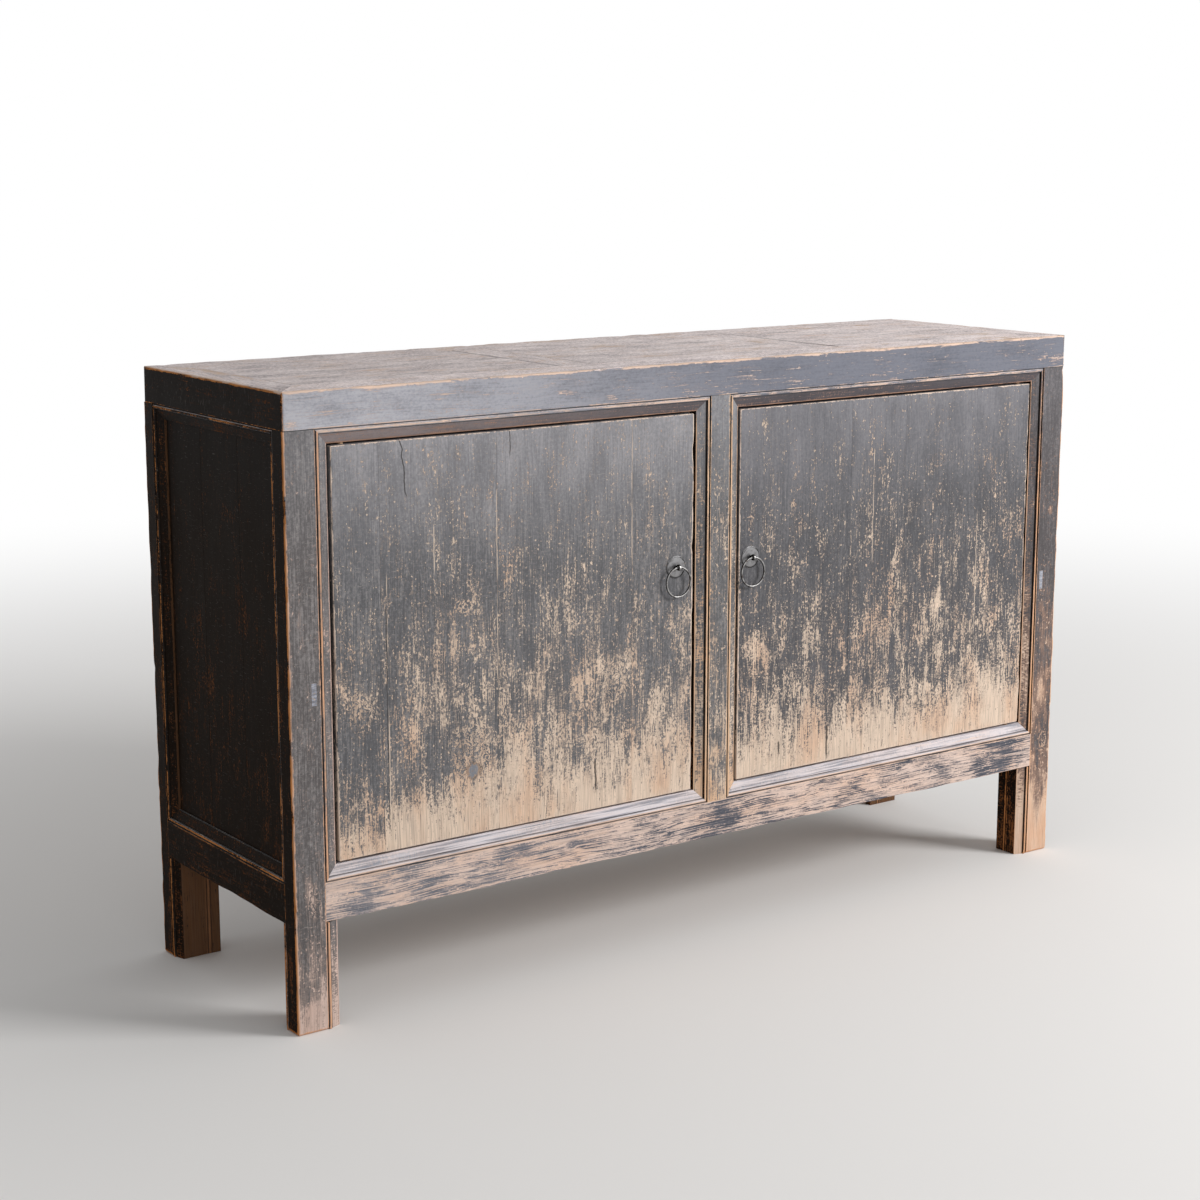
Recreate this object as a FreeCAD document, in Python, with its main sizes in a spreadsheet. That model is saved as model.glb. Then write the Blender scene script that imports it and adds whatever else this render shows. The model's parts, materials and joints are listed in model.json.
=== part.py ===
import FreeCAD, Part
import Sketcher
import os

# Low two-door cabinet of boards set in a moulded frame of posts and rails.
# The frame is X along the front, Y towards the back, Z up, in millimetres.
# The origin is at the bottom centre of the whole box, ring pulls included.
# Pieces are drawn with x from the left end and y from the front face.

SIZES = [
    # overall
    ("cabinet_width", 1400),
    ("cabinet_depth", 405),
    ("cabinet_height", 850),
    # moulding worked along the inner edges of the frame
    ("moulding_width", 20.5),
    ("quirk_width", 1.5),
    ("quirk_depth", 2.5),
    ("bead_width", 4.5),
    ("inner_quirk_depth", 3.5),
    ("band_depth", 8.5),
    # posts and rails
    ("post_front_face", 46),
    ("post_side_face", 28),
    ("foot_height", 148),
    ("bottom_rail_face", 55),
    ("side_rail_thickness", 44),
    ("back_rail_thickness", 28),
    # top frame
    ("top_frame_thickness", 50),
    ("top_long_rail_width", 62),
    ("top_end_rail_width", 50),
    ("cross_bar_width", 57),
    ("cross_bar_thickness", 34),
    ("cross_bar_left_place", 205),
    ("cross_bar_right_place", 244),
    ("top_panel_thickness", 16),
    ("top_tongue_thickness", 6),
    ("top_tongue_length", 8),
    # stiles between the doors and at the back
    ("stile_face", 35),
    ("stile_depth", 40),
    ("stop_width", 14),
    ("back_stile_width", 60),
    # tenons and the clearance round them
    ("tenon_clearance", 0.2),
    ("post_tenon_width", 24),
    ("post_tenon_depth", 18),
    ("post_tenon_height", 34),
    ("rail_tenon_height", 35),
    ("front_tenon_thickness", 12),
    ("front_tenon_length", 28),
    ("side_tenon_thickness", 10),
    ("side_tenon_inset", 3),
    ("side_tenon_length", 20),
    ("stub_tenon_thickness", 10),
    ("stub_tenon_width", 24),
    ("stub_tenon_length", 14),
    # boards of the sides, back and floor
    ("side_board_thickness", 12),
    ("side_board_setback", 12),
    ("back_board_thickness", 12),
    ("back_board_setback", 8),
    ("board_tongue", 7.5),
    ("board_clearance", 0.4),
    ("floor_board_thickness", 14),
    ("floor_ledge_width", 12),
    ("floor_bearer_width", 45),
    ("floor_bearer_height", 30),
    # shelf inside
    ("shelf_height", 473),
    ("shelf_board_thickness", 18),
    ("shelf_bearer_height", 30),
    ("shelf_bearer_thickness", 20),
    ("shelf_bearer_gap", 2),
    ("shelf_tenon_thickness", 8),
    ("shelf_post_gap", 4),
    # doors
    ("door_thickness", 20),
    ("door_setback", 4),
    ("door_top_gap", 2.5),
    ("door_bottom_gap", 3),
    ("door_stop_gap", 0.3),
    ("left_hinge_gap", 3),
    ("left_free_gap", 7),
    ("right_hinge_gap", 6.5),
    ("right_free_gap", 1.5),
    ("batten_width", 46),
    ("batten_thickness", 18),
    ("batten_let_in", 6),
    ("batten_flare", 2.5),
    ("batten_place", 95),
    ("batten_hinge_gap", 40),
    ("batten_free_gap", 20),
    # wooden pivots of the doors
    ("pivot_radius", 4),
    ("pivot_inset", 20),
    ("pivot_in_door", 30),
    ("pivot_in_rail", 8),
    ("pivot_clearance", 0.1),
    ("pivot_end_gap", 0.3),
    # ring pulls
    ("pull_drop", 217),
    ("left_pull_inset", 31),
    ("right_pull_inset", 21),
    ("plate_radius", 16),
    ("plate_thickness", 1.4),
    ("plate_chamfer", 0.5),
    ("eye_standoff", 7),
    ("eye_hole_radius", 2.6),
    ("eye_wall", 1.8),
    ("eye_width", 3),
    ("shank_height", 3.6),
    ("shank_clearance", 0.1),
    ("clinch_length", 12),
    ("clinch_thickness", 1.6),
    ("ring_radius", 21.3),
    ("ring_wire_radius", 1.6),
    # how far a cutting shape runs past what it cuts
    ("overrun", 2),
]

# Where the boards of each door meet, as shares of its width from the hinge edge.
LEFT_SEAM_SHARES = [0.12, 0.43, 0.815]
RIGHT_SEAM_SHARES = [0.447, 0.634]
# Where the bearers under the floor lie, as shares of the cabinet's width.
BEARER_SHARES = [0.31, 0.69]
SIDE_BOARD_COUNT = 3
FLOOR_BOARD_COUNT = 3
SHELF_BOARD_COUNT = 2
BACK_BOARDS_PER_BAY = 2


class Length:
    """A length that knows its number and the sheet expression that drives it."""

    def __init__(self, value, text):
        self.value = value
        self.text = text

    def __add__(self, other):
        return Length(self.value + other.value, "(%s + %s)" % (self.text, other.text))

    def __sub__(self, other):
        return Length(self.value - other.value, "(%s - %s)" % (self.text, other.text))

    def __mul__(self, share):
        return Length(self.value * share, "(%s * %r)" % (self.text, share))

    def __truediv__(self, count):
        return Length(self.value / count, "(%s / %r)" % (self.text, count))


class Sizes:
    """The driving sizes, read by name."""


doc = FreeCAD.newDocument("Cabinet")
sheet = doc.addObject("Spreadsheet::Sheet", "Sizes")
for row, (alias, number) in enumerate(SIZES, start=1):
    sheet.set("A%d" % row, alias)
    sheet.set("B%d" % row, str(number))
    sheet.setAlias("B%d" % row, alias)
doc.recompute()
s = Sizes()
for alias, _ in SIZES:
    setattr(s, alias, Length(float(sheet.get(alias)), "Sizes." + alias))

ZERO = Length(0.0, "0")
NODES = {}
CUTS = []

# Sizes worked out from the driving ones
post_width = s.post_front_face + s.moulding_width
post_depth = s.post_side_face + s.moulding_width
rail_top = s.foot_height + s.bottom_rail_face
opening_bottom = rail_top + s.moulding_width
frame_bottom = s.cabinet_height - s.top_frame_thickness
opening_top = frame_bottom - s.moulding_width
middle = s.cabinet_width / 2
stile_half = s.stile_face / 2
stile_edge = stile_half + s.moulding_width
right_end = s.cabinet_width
back_face = s.cabinet_depth
back_rail_front = back_face - s.back_rail_thickness
right_post_edge = right_end - post_width
eye_radius = s.eye_hole_radius + s.eye_wall
pull_reach = s.eye_standoff + eye_radius - s.door_setback
front_place = (pull_reach - s.cabinet_depth) / 2
left_place = ZERO - middle


# Sketch and feature helpers

def point(x, y):
    """A corner of an outline."""
    return ("point", x, y)


def via(x, y):
    """The crown of a half-round stretch between two corners."""
    return ("via", x, y)


def block(x0, x1, y0, y1):
    """A rectangular outline."""
    return [point(x0, y0), point(x1, y0), point(x1, y1), point(x0, y1)]


def place(item, to_x, to_y):
    """One outline item carried to other axes by two functions of its coordinates."""
    kind, u, v = item
    return (kind, to_x(u, v), to_y(u, v))


def vector(item):
    """Where an outline item stands now."""
    return FreeCAD.Vector(item[1].value, item[2].value, 0)


def bind_constraint(sketch, index, length):
    """Tie one numbered constraint to its expression."""
    name = "size%d" % index
    sketch.renameConstraint(index, name)
    sketch.setExpression("Constraints." + name, length.text)


def draw_outline(sketch, outline):
    """Draw one closed outline of lines and arcs and tie every corner to the sheet."""
    corners = [item for item in outline if item[0] == "point"]
    count = len(corners)
    first_edge = sketch.GeometryCount
    edges, arcs, ends = [], [], []
    index = -1
    for position, item in enumerate(outline):
        if item[0] == "via":
            continue
        index += 1
        following = outline[(position + 1) % len(outline)]
        start, end = vector(item), vector(corners[(index + 1) % count])
        if following[0] == "via":
            crown = vector(following)
            forward = (crown - start).cross(end - crown).z > 0
            edges.append(Part.Arc(start, crown, end) if forward else Part.Arc(end, crown, start))
            arcs.append((first_edge + index, item, corners[(index + 1) % count]))
            ends.append((1, 2) if forward else (2, 1))
        else:
            edges.append(Part.LineSegment(start, end))
            ends.append((1, 2))
    sketch.addGeometry(edges)
    joins = []
    for number in range(count):
        following = (number + 1) % count
        joins.append(Sketcher.Constraint("Coincident", first_edge + number, ends[number][1],
                                         first_edge + following, ends[following][0]))
    sketch.addConstraint(joins)
    for number, corner in enumerate(corners):
        for direction, length in (("DistanceX", corner[1]), ("DistanceY", corner[2])):
            added = sketch.addConstraint(Sketcher.Constraint(
                direction, -1, 1, first_edge + number, ends[number][0], length.value))
            bind_constraint(sketch, added, length)
    for edge, start, end in arcs:
        upright = abs(start[1].value - end[1].value) < abs(start[2].value - end[2].value)
        direction, length = ("DistanceX", start[1]) if upright else ("DistanceY", start[2])
        added = sketch.addConstraint(Sketcher.Constraint(direction, -1, 1, edge, 3, length.value))
        bind_constraint(sketch, added, length)


def draw_circle(sketch, x, y, radius):
    """Draw one circle with its centre and radius tied to the sheet."""
    centre = FreeCAD.Vector(x.value, y.value, 0)
    edge = sketch.addGeometry(Part.Circle(centre, FreeCAD.Vector(0, 0, 1), radius.value))
    for kind, length in (("DistanceX", x), ("DistanceY", y)):
        added = sketch.addConstraint(Sketcher.Constraint(kind, -1, 1, edge, 3, length.value))
        bind_constraint(sketch, added, length)
    added = sketch.addConstraint(Sketcher.Constraint("Radius", edge, radius.value))
    bind_constraint(sketch, added, radius)


def new_sketch(body, plane, start):
    """A sketch on one of the body's own planes, moved along + by start."""
    sketch = body.newObject("Sketcher::SketchObject", body.Label + "_sketch")
    support = next(item for item in body.Origin.OriginFeatures if item.Role == plane + "_Plane")
    sketch.AttachmentSupport = (support, "")
    sketch.MapMode = "FlatFace"
    offset = ZERO - start if plane == "XZ" else start
    sketch.setExpression("AttachmentOffset.Base.z", offset.text)
    return sketch


def feature(body, kind, sketch, length, reverse):
    """A pad or pocket made from a sketch, and with reverse the other way."""
    made = body.newObject("PartDesign::" + kind, body.Label + "_" + kind.lower())
    made.Profile = sketch
    made.setExpression("Length", length.text)
    made.Reversed = reverse
    return made


def add(body, plane, outline, start, length):
    """Add material from start, for length, along the plane's + axis."""
    sketch = new_sketch(body, plane, start)
    draw_outline(sketch, outline)
    feature(body, "Pad", sketch, length, plane == "XZ")


def cut(body, plane, outlines, start, length):
    """Take material away from start, for length, along the plane's + axis."""
    sketch = new_sketch(body, plane, start)
    for outline in outlines:
        draw_outline(sketch, outline)
    CUTS.append(feature(body, "Pocket", sketch, length, plane != "XZ"))


def bore(body, plane, circles, start, length):
    """Drill round holes from start, for length, along the plane's + axis."""
    sketch = new_sketch(body, plane, start)
    for x, y, radius in circles:
        draw_circle(sketch, x, y, radius)
    CUTS.append(feature(body, "Pocket", sketch, length, plane != "XZ"))


def new_body(label, x_place=left_place, y_place=front_place, z_place=ZERO):
    """An empty body at its place in the cabinet."""
    body = doc.addObject("PartDesign::Body", label)
    body.Label = label
    for axis, length in (("x", x_place), ("y", y_place), ("z", z_place)):
        body.setExpression("Placement.Base." + axis, length.text)
    return body


def keep(item, label):
    """Hand one object in as the sub-part called label."""
    item.Label = label
    NODES[label] = item
    return item


def mirror(source, label):
    """The same piece turned over to the other end of the cabinet."""
    turned = doc.addObject("Part::Mirroring", label)
    turned.Source = source
    turned.Normal = FreeCAD.Vector(1, 0, 0)
    turned.Base = FreeCAD.Vector(0, 0, 0)
    return turned


def tenon(body, box):
    """Add a tenon: box is (x0, x1, y0, y1, z0, z1)."""
    x0, x1, y0, y1, z0, z1 = box
    add(body, "XY", block(x0, x1, y0, y1), z0, z1 - z0)


def mortise(body, box):
    """Cut the hole for a tenon, larger all round by the clearance."""
    gap = s.tenon_clearance
    x0, x1, y0, y1, z0, z1 = box
    outline = block(x0 - gap, x1 + gap, y0 - gap, y1 + gap)
    cut(body, "XY", [outline], z0 - gap, z1 - z0 + gap * 2)


# The moulding, its mitres and the tenons that several pieces share

def moulding():
    """Quirk, half-round bead, quirk and sloping band: u across the edge, v in depth."""
    bead_start = s.quirk_width
    bead_end = s.quirk_width + s.bead_width
    bead_radius = s.bead_width / 2
    return [
        point(ZERO, ZERO),
        point(ZERO, s.quirk_depth),
        point(bead_start, s.quirk_depth),
        via(bead_start + bead_radius, s.quirk_depth - bead_radius),
        point(bead_end, s.quirk_depth),
        point(bead_end, s.inner_quirk_depth),
        point(bead_end + s.quirk_width, s.inner_quirk_depth),
        point(s.moulding_width, s.band_depth),
    ]


def moulding_after(face):
    """The moulding on a front, starting at face and running along +."""
    return [place(item, lambda u, v: face + u, lambda u, v: v) for item in moulding()]


def mitre_below(edge, top):
    """What a mitred lip leaves at its left end: all left of the mitre, below top."""
    low = top - s.moulding_width - s.overrun
    corner = edge + s.moulding_width + s.overrun
    return [point(ZERO - s.overrun, top), point(edge, top), point(corner, low),
            point(ZERO - s.overrun, low)]


def mitre_above(edge, bottom):
    """The same for a moulding that runs up from bottom."""
    high = bottom + s.moulding_width + s.overrun
    corner = edge + s.moulding_width + s.overrun
    return [point(edge - s.overrun, bottom), point(edge, bottom), point(corner, high),
            point(edge - s.overrun, high)]


def flip(outline, total):
    """An outline turned over left to right within a total length."""
    return [(item[0], total - item[1], item[2]) for item in outline]


def stile_notch(base, tip):
    """The tapered seat of the centre stile: as wide as the face at base, wider at tip."""
    return [point(middle - stile_half, base), point(middle + stile_half, base),
            point(middle + stile_edge, tip), point(middle - stile_edge, tip)]


def post_seat(face):
    """What a post gives up to a rail and to the lip of the top rail, side or front view."""
    edge = face + s.moulding_width + s.overrun
    return [
        [point(face, s.foot_height), point(edge, s.foot_height),
         point(edge, opening_bottom + s.overrun), point(face, rail_top)],
        [point(face, frame_bottom), point(edge, opening_top - s.overrun),
         point(edge, frame_bottom)],
    ]


def post_top_tenon(y_start):
    """Tenon from a post up into the mitred corner of the top frame."""
    x0 = (s.post_front_face - s.post_tenon_width) / 2
    return (x0, x0 + s.post_tenon_width, y_start, y_start + s.post_tenon_depth,
            frame_bottom, frame_bottom + s.post_tenon_height)


def rail_tenon_heights():
    """Lowest and highest height of the tenons of the bottom rails."""
    low = s.foot_height + (s.bottom_rail_face - s.rail_tenon_height) / 2
    return low, low + s.rail_tenon_height


def long_rail_tenon(shoulder, y_middle):
    """Tenon at the left end of a long bottom rail."""
    low, high = rail_tenon_heights()
    half = s.front_tenon_thickness / 2
    return (shoulder - s.front_tenon_length, shoulder, y_middle - half, y_middle + half, low, high)


def side_rail_tenons():
    """Front and back tenon of a bottom side rail."""
    low, high = rail_tenon_heights()
    x0 = s.side_tenon_inset
    x1 = x0 + s.side_tenon_thickness
    front = (x0, x1, s.post_side_face - s.side_tenon_length, s.post_side_face, low, high)
    start = back_face - s.post_side_face
    back = (x0, x1, start, start + s.side_tenon_length, low, high)
    return front, back


def upright_stubs(y_middle, low, high):
    """Stub tenons at the foot and head of an upright on the cabinet's middle."""
    half_width = s.stub_tenon_width / 2
    half_thickness = s.stub_tenon_thickness / 2
    sides = (middle - half_width, middle + half_width,
             y_middle - half_thickness, y_middle + half_thickness)
    foot = sides + (low - s.stub_tenon_length, low)
    head = sides + (high, high + s.stub_tenon_length)
    return foot, head


def cross_stubs(x_middle, width, y_front, y_back, low, high):
    """Stub tenons at the ends of a bar that runs from front to back."""
    x0 = x_middle - width / 2
    x1 = x_middle + width / 2
    third = (high - low) / 3
    front = (x0, x1, y_front - s.stub_tenon_length, y_front, low + third, high - third)
    back = (x0, x1, y_back, y_back + s.stub_tenon_length, low + third, high - third)
    return front, back


front_tenon_middle = s.post_side_face / 2
back_tenon_middle = back_face - s.back_rail_thickness / 2
front_post_tenon = post_top_tenon((s.post_side_face - s.post_tenon_depth) / 2)
back_post_tenon = post_top_tenon(back_face - (s.post_side_face + s.post_tenon_depth) / 2)
front_rail_tenon = long_rail_tenon(s.post_front_face, front_tenon_middle)
back_rail_tenon = long_rail_tenon(post_width, back_tenon_middle)
stile_foot, stile_head = upright_stubs(front_tenon_middle, rail_top, frame_bottom)
back_stile_foot, back_stile_head = upright_stubs(back_tenon_middle, opening_bottom, frame_bottom)
bar_places = {"left": middle - s.cross_bar_left_place, "right": middle + s.cross_bar_right_place}
bearer_low = rail_top - s.floor_bearer_height
bearer_places = {name: right_end * share for name, share in zip(("left", "right"), BEARER_SHARES)}
shelf_bearer_low = s.shelf_height - s.shelf_bearer_height
shelf_bearer_x = s.side_board_setback + s.side_board_thickness + s.shelf_bearer_gap


def bar_stubs(side):
    """Stub tenons of one cross bar of the top."""
    return cross_stubs(bar_places[side], s.stub_tenon_width, s.top_long_rail_width,
                       back_face - s.top_long_rail_width,
                       s.cabinet_height - s.cross_bar_thickness, s.cabinet_height)


def bearer_stubs(side):
    """Stub tenons of one bearer under the floor."""
    return cross_stubs(bearer_places[side], s.stub_tenon_width, s.post_side_face,
                       back_rail_front, bearer_low, rail_top)


def middle_bearer_stubs():
    """Stub tenons of the shelf's middle bearer."""
    return cross_stubs(middle, s.stub_tenon_thickness, s.stile_depth,
                       back_rail_front, shelf_bearer_low, s.shelf_height)


def shelf_end_tenons():
    """Through tenon to the front of the front post, and a stub into the back post."""
    half = (s.shelf_bearer_thickness - s.shelf_tenon_thickness) / 2
    x0 = shelf_bearer_x + half
    x1 = x0 + s.shelf_tenon_thickness
    start = back_face - post_depth
    front = (x0, x1, ZERO, post_depth, shelf_bearer_low, s.shelf_height)
    back = (x0, x1, start, start + s.stub_tenon_length, shelf_bearer_low, s.shelf_height)
    return front, back


# Grooves that hold the boards

def groove(setback, thickness):
    """Nearest and farthest depth of a groove for boards of a thickness."""
    return setback - s.board_clearance / 2, setback + thickness + s.board_clearance / 2


side_groove = groove(s.side_board_setback, s.side_board_thickness)
back_groove = groove(back_face - s.back_board_setback - s.back_board_thickness,
                     s.back_board_thickness)
groove_depth = s.board_tongue + s.board_clearance
side_groove_low = opening_bottom - groove_depth
side_groove_height = opening_top - opening_bottom + groove_depth * 2
top_groove_high = s.cabinet_height - (s.top_panel_thickness - s.top_tongue_thickness) / 2
top_groove_low = top_groove_high - s.top_tongue_thickness
top_groove_depth = s.top_tongue_length + s.board_clearance
panel_front = s.top_long_rail_width
panel_back = back_face - s.top_long_rail_width


def side_groove_outline():
    """Groove for the side boards in the rails, seen from above."""
    return block(side_groove[0], side_groove[1], post_depth - groove_depth,
                 back_face - post_depth + groove_depth)


def back_groove_outline():
    """Groove for the back boards in the rails, seen from above."""
    return block(post_width - groove_depth, right_post_edge + groove_depth, *back_groove)


def long_panel_groove(inner, outer):
    """Groove for the top panels in a long rail, seen from above."""
    start = s.top_end_rail_width - top_groove_depth
    return block(start, right_end - start, inner, outer)


# Posts

def post_front_left():
    """Front post with the moulding on its front and side inner edges, and its mortises."""
    body = new_body("post_front_left")
    side = [place(item, lambda u, v: v, lambda u, v: s.post_side_face + u) for item in moulding()]
    outline = [point(ZERO, ZERO)] + moulding_after(s.post_front_face)
    outline += [point(post_width, post_depth)] + side[::-1]
    add(body, "XY", outline, ZERO, frame_bottom)
    cut(body, "XZ", post_seat(s.post_front_face), ZERO, s.post_side_face)
    cut(body, "YZ", post_seat(s.post_side_face), ZERO, s.side_rail_thickness)
    tenon(body, front_post_tenon)
    mortise(body, front_rail_tenon)
    mortise(body, side_rail_tenons()[0])
    mortise(body, shelf_end_tenons()[0])
    groove_outline = block(side_groove[0], side_groove[1], post_depth - groove_depth,
                           post_depth + s.overrun)
    cut(body, "XY", [groove_outline], side_groove_low, side_groove_height)
    return keep(body, "post_front_left")


def post_back_left():
    """Back post, plain behind, with the moulding on its side inner edge."""
    body = new_body("post_back_left")
    side = [place(item, lambda u, v: v, lambda u, v: back_face - s.post_side_face - u)
            for item in moulding()]
    front_edge = back_face - post_depth
    outline = [point(ZERO, back_face)] + side
    outline += [point(post_width, front_edge), point(post_width, back_face)]
    add(body, "XY", outline, ZERO, frame_bottom)
    seats = [flip(seat, back_face) for seat in post_seat(s.post_side_face)]
    cut(body, "YZ", seats, ZERO, s.side_rail_thickness)
    tenon(body, back_post_tenon)
    mortise(body, back_rail_tenon)
    mortise(body, side_rail_tenons()[1])
    mortise(body, shelf_end_tenons()[1])
    side_outline = block(side_groove[0], side_groove[1], front_edge - s.overrun,
                         front_edge + groove_depth)
    cut(body, "XY", [side_outline], side_groove_low, side_groove_height)
    back_outline = block(post_width - groove_depth, post_width + s.overrun,
                         back_groove[0], back_groove[1])
    cut(body, "XY", [back_outline], side_groove_low, frame_bottom - side_groove_low)
    return keep(body, "post_back_left")


# Top frame

def top_end_mitres(outer, inner):
    """The mitres at both ends of a long top rail, seen from above."""
    left = [point(ZERO, outer), point(s.top_end_rail_width, inner),
            point(ZERO - s.overrun, inner), point(ZERO - s.overrun, outer)]
    return [left, flip(left, right_end)]


def flip_tenon(box):
    """A tenon box turned over to the cabinet's other end."""
    return (right_end - box[1], right_end - box[0]) + box[2:]


def door_pivot(side):
    """Where a door's pivots stand, x and y."""
    gap = s.left_hinge_gap if side == "left" else s.right_hinge_gap
    x = post_width + gap + s.pivot_inset
    if side == "right":
        x = right_end - x
    return x, s.door_setback + s.door_thickness / 2


def pivot_holes():
    """The sockets that both doors turn in."""
    radius = s.pivot_radius + s.pivot_clearance
    return [door_pivot(side) + (radius,) for side in ("left", "right")]


socket_depth = s.pivot_in_rail + s.pivot_end_gap


def top_front_rail():
    """Front member of the top frame, with the moulded lip below it."""
    body = new_body("top_front_rail")
    lip = [place(item, lambda u, v: v, lambda u, v: frame_bottom - u) for item in moulding()]
    outline = [point(ZERO, s.cabinet_height)] + lip
    outline += [point(s.post_side_face, opening_top), point(s.post_side_face, frame_bottom),
                point(s.top_long_rail_width, frame_bottom),
                point(s.top_long_rail_width, s.cabinet_height)]
    add(body, "YZ", outline, ZERO, right_end)
    cut(body, "XY", top_end_mitres(ZERO, panel_front), frame_bottom, s.top_frame_thickness)
    end = mitre_below(s.post_front_face, frame_bottom)
    notch = stile_notch(frame_bottom, opening_top)
    cut(body, "XZ", [end, flip(end, right_end), notch], ZERO, s.post_side_face)
    for box in (front_post_tenon, flip_tenon(front_post_tenon), stile_head,
                bar_stubs("left")[0], bar_stubs("right")[0]):
        mortise(body, box)
    cut(body, "XY", [long_panel_groove(panel_front - top_groove_depth, panel_front + s.overrun)],
        top_groove_low, s.top_tongue_thickness)
    bore(body, "XY", pivot_holes(), opening_top, socket_depth)
    return keep(body, "top_front_rail")


def top_back_rail():
    """Back member of the top frame."""
    body = new_body("top_back_rail")
    add(body, "XY", block(ZERO, right_end, panel_back, back_face), frame_bottom,
        s.top_frame_thickness)
    cut(body, "XY", top_end_mitres(back_face, panel_back), frame_bottom, s.top_frame_thickness)
    for box in (back_post_tenon, flip_tenon(back_post_tenon), back_stile_head,
                bar_stubs("left")[1], bar_stubs("right")[1]):
        mortise(body, box)
    cut(body, "XY", [long_panel_groove(panel_back - s.overrun, panel_back + top_groove_depth)],
        top_groove_low, s.top_tongue_thickness)
    cut(body, "XY", [back_groove_outline()], frame_bottom, groove_depth)
    return keep(body, "top_back_rail")


def top_left_rail():
    """Left member of the top frame, with its moulded lip."""
    body = new_body("top_left_rail")
    lip = [place(item, lambda u, v: v, lambda u, v: frame_bottom - u) for item in moulding()]
    outline = [point(ZERO, s.cabinet_height)] + lip
    outline += [point(s.side_rail_thickness, opening_top),
                point(s.side_rail_thickness, frame_bottom),
                point(s.top_end_rail_width, frame_bottom),
                point(s.top_end_rail_width, s.cabinet_height)]
    add(body, "XZ", outline, ZERO, back_face)
    past = s.top_end_rail_width + s.overrun
    front = [point(ZERO, ZERO), point(past, ZERO), point(past, panel_front),
             point(s.top_end_rail_width, panel_front)]
    back = [(kind, x, back_face - y) for kind, x, y in front]
    cut(body, "XY", [front, back], frame_bottom, s.top_frame_thickness)
    end = mitre_below(s.post_side_face, frame_bottom)
    cut(body, "YZ", [end, flip(end, back_face)], ZERO, s.side_rail_thickness)
    mortise(body, front_post_tenon)
    mortise(body, back_post_tenon)
    inner = s.top_end_rail_width
    cut(body, "XY", [block(inner - top_groove_depth, inner + s.overrun,
                           panel_front - top_groove_depth, panel_back + top_groove_depth)],
        top_groove_low, s.top_tongue_thickness)
    cut(body, "XY", [side_groove_outline()], opening_top, groove_depth)
    return keep(body, "top_left_rail")


def cross_bar(side):
    """Bar across the top, between two of its panels."""
    label = "top_cross_bar_" + side
    body = new_body(label)
    half = s.cross_bar_width / 2
    x0, x1 = bar_places[side] - half, bar_places[side] + half
    low = s.cabinet_height - s.cross_bar_thickness
    add(body, "XY", block(x0, x1, panel_front, panel_back), low, s.cross_bar_thickness)
    for box in bar_stubs(side):
        tenon(body, box)
    cut(body, "XY", [block(x0 - s.overrun, x0 + top_groove_depth, panel_front, panel_back),
                     block(x1 - top_groove_depth, x1 + s.overrun, panel_front, panel_back)],
        top_groove_low, s.top_tongue_thickness)
    return keep(body, label)


def top_panel(name, x0, x1):
    """Floating panel of the top, flush with the frame and tongued all round."""
    label = "top_panel_" + name
    body = new_body(label)
    gap = s.board_clearance / 2
    low = s.cabinet_height - s.top_panel_thickness
    add(body, "XY", block(x0 + gap, x1 - gap, panel_front + gap, panel_back - gap),
        low, s.top_panel_thickness)
    reach = s.top_tongue_length
    add(body, "XY", block(x0 - reach, x1 + reach, panel_front - reach, panel_back + reach),
        top_groove_low, s.top_tongue_thickness)
    return keep(body, label)


def top_panels():
    """The three panels between the end rails and the cross bars."""
    half = s.cross_bar_width / 2
    left, right = bar_places["left"], bar_places["right"]
    top_panel("left", s.top_end_rail_width, left - half)
    top_panel("middle", left + half, right - half)
    top_panel("right", right + half, right_end - s.top_end_rail_width)


# Bottom rails

def bottom_front_rail():
    """Front rail under the doors, moulded along its upper edge."""
    body = new_body("bottom_front_rail")
    band = [place(item, lambda u, v: v, lambda u, v: rail_top + u) for item in moulding()]
    outline = [point(ZERO, s.foot_height)] + band
    outline += [point(s.post_side_face, opening_bottom), point(s.post_side_face, s.foot_height)]
    length = right_end - s.post_front_face * 2
    add(body, "YZ", outline, s.post_front_face, length)
    end = mitre_above(s.post_front_face, rail_top)
    notch = stile_notch(rail_top, opening_bottom)
    cut(body, "XZ", [end, flip(end, right_end), notch], ZERO, s.post_side_face)
    tenon(body, front_rail_tenon)
    tenon(body, flip_tenon(front_rail_tenon))
    for box in (stile_foot, bearer_stubs("left")[0], bearer_stubs("right")[0]):
        mortise(body, box)
    bore(body, "XY", pivot_holes(), opening_bottom - socket_depth, socket_depth)
    return keep(body, "bottom_front_rail")


def bottom_back_rail():
    """Plain back rail between the back posts."""
    body = new_body("bottom_back_rail")
    add(body, "XY", block(post_width, right_post_edge, back_rail_front, back_face),
        s.foot_height, opening_bottom - s.foot_height)
    tenon(body, back_rail_tenon)
    tenon(body, flip_tenon(back_rail_tenon))
    for box in (back_stile_foot, bearer_stubs("left")[1], bearer_stubs("right")[1]):
        mortise(body, box)
    cut(body, "XY", [back_groove_outline()], side_groove_low, groove_depth)
    return keep(body, "bottom_back_rail")


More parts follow.
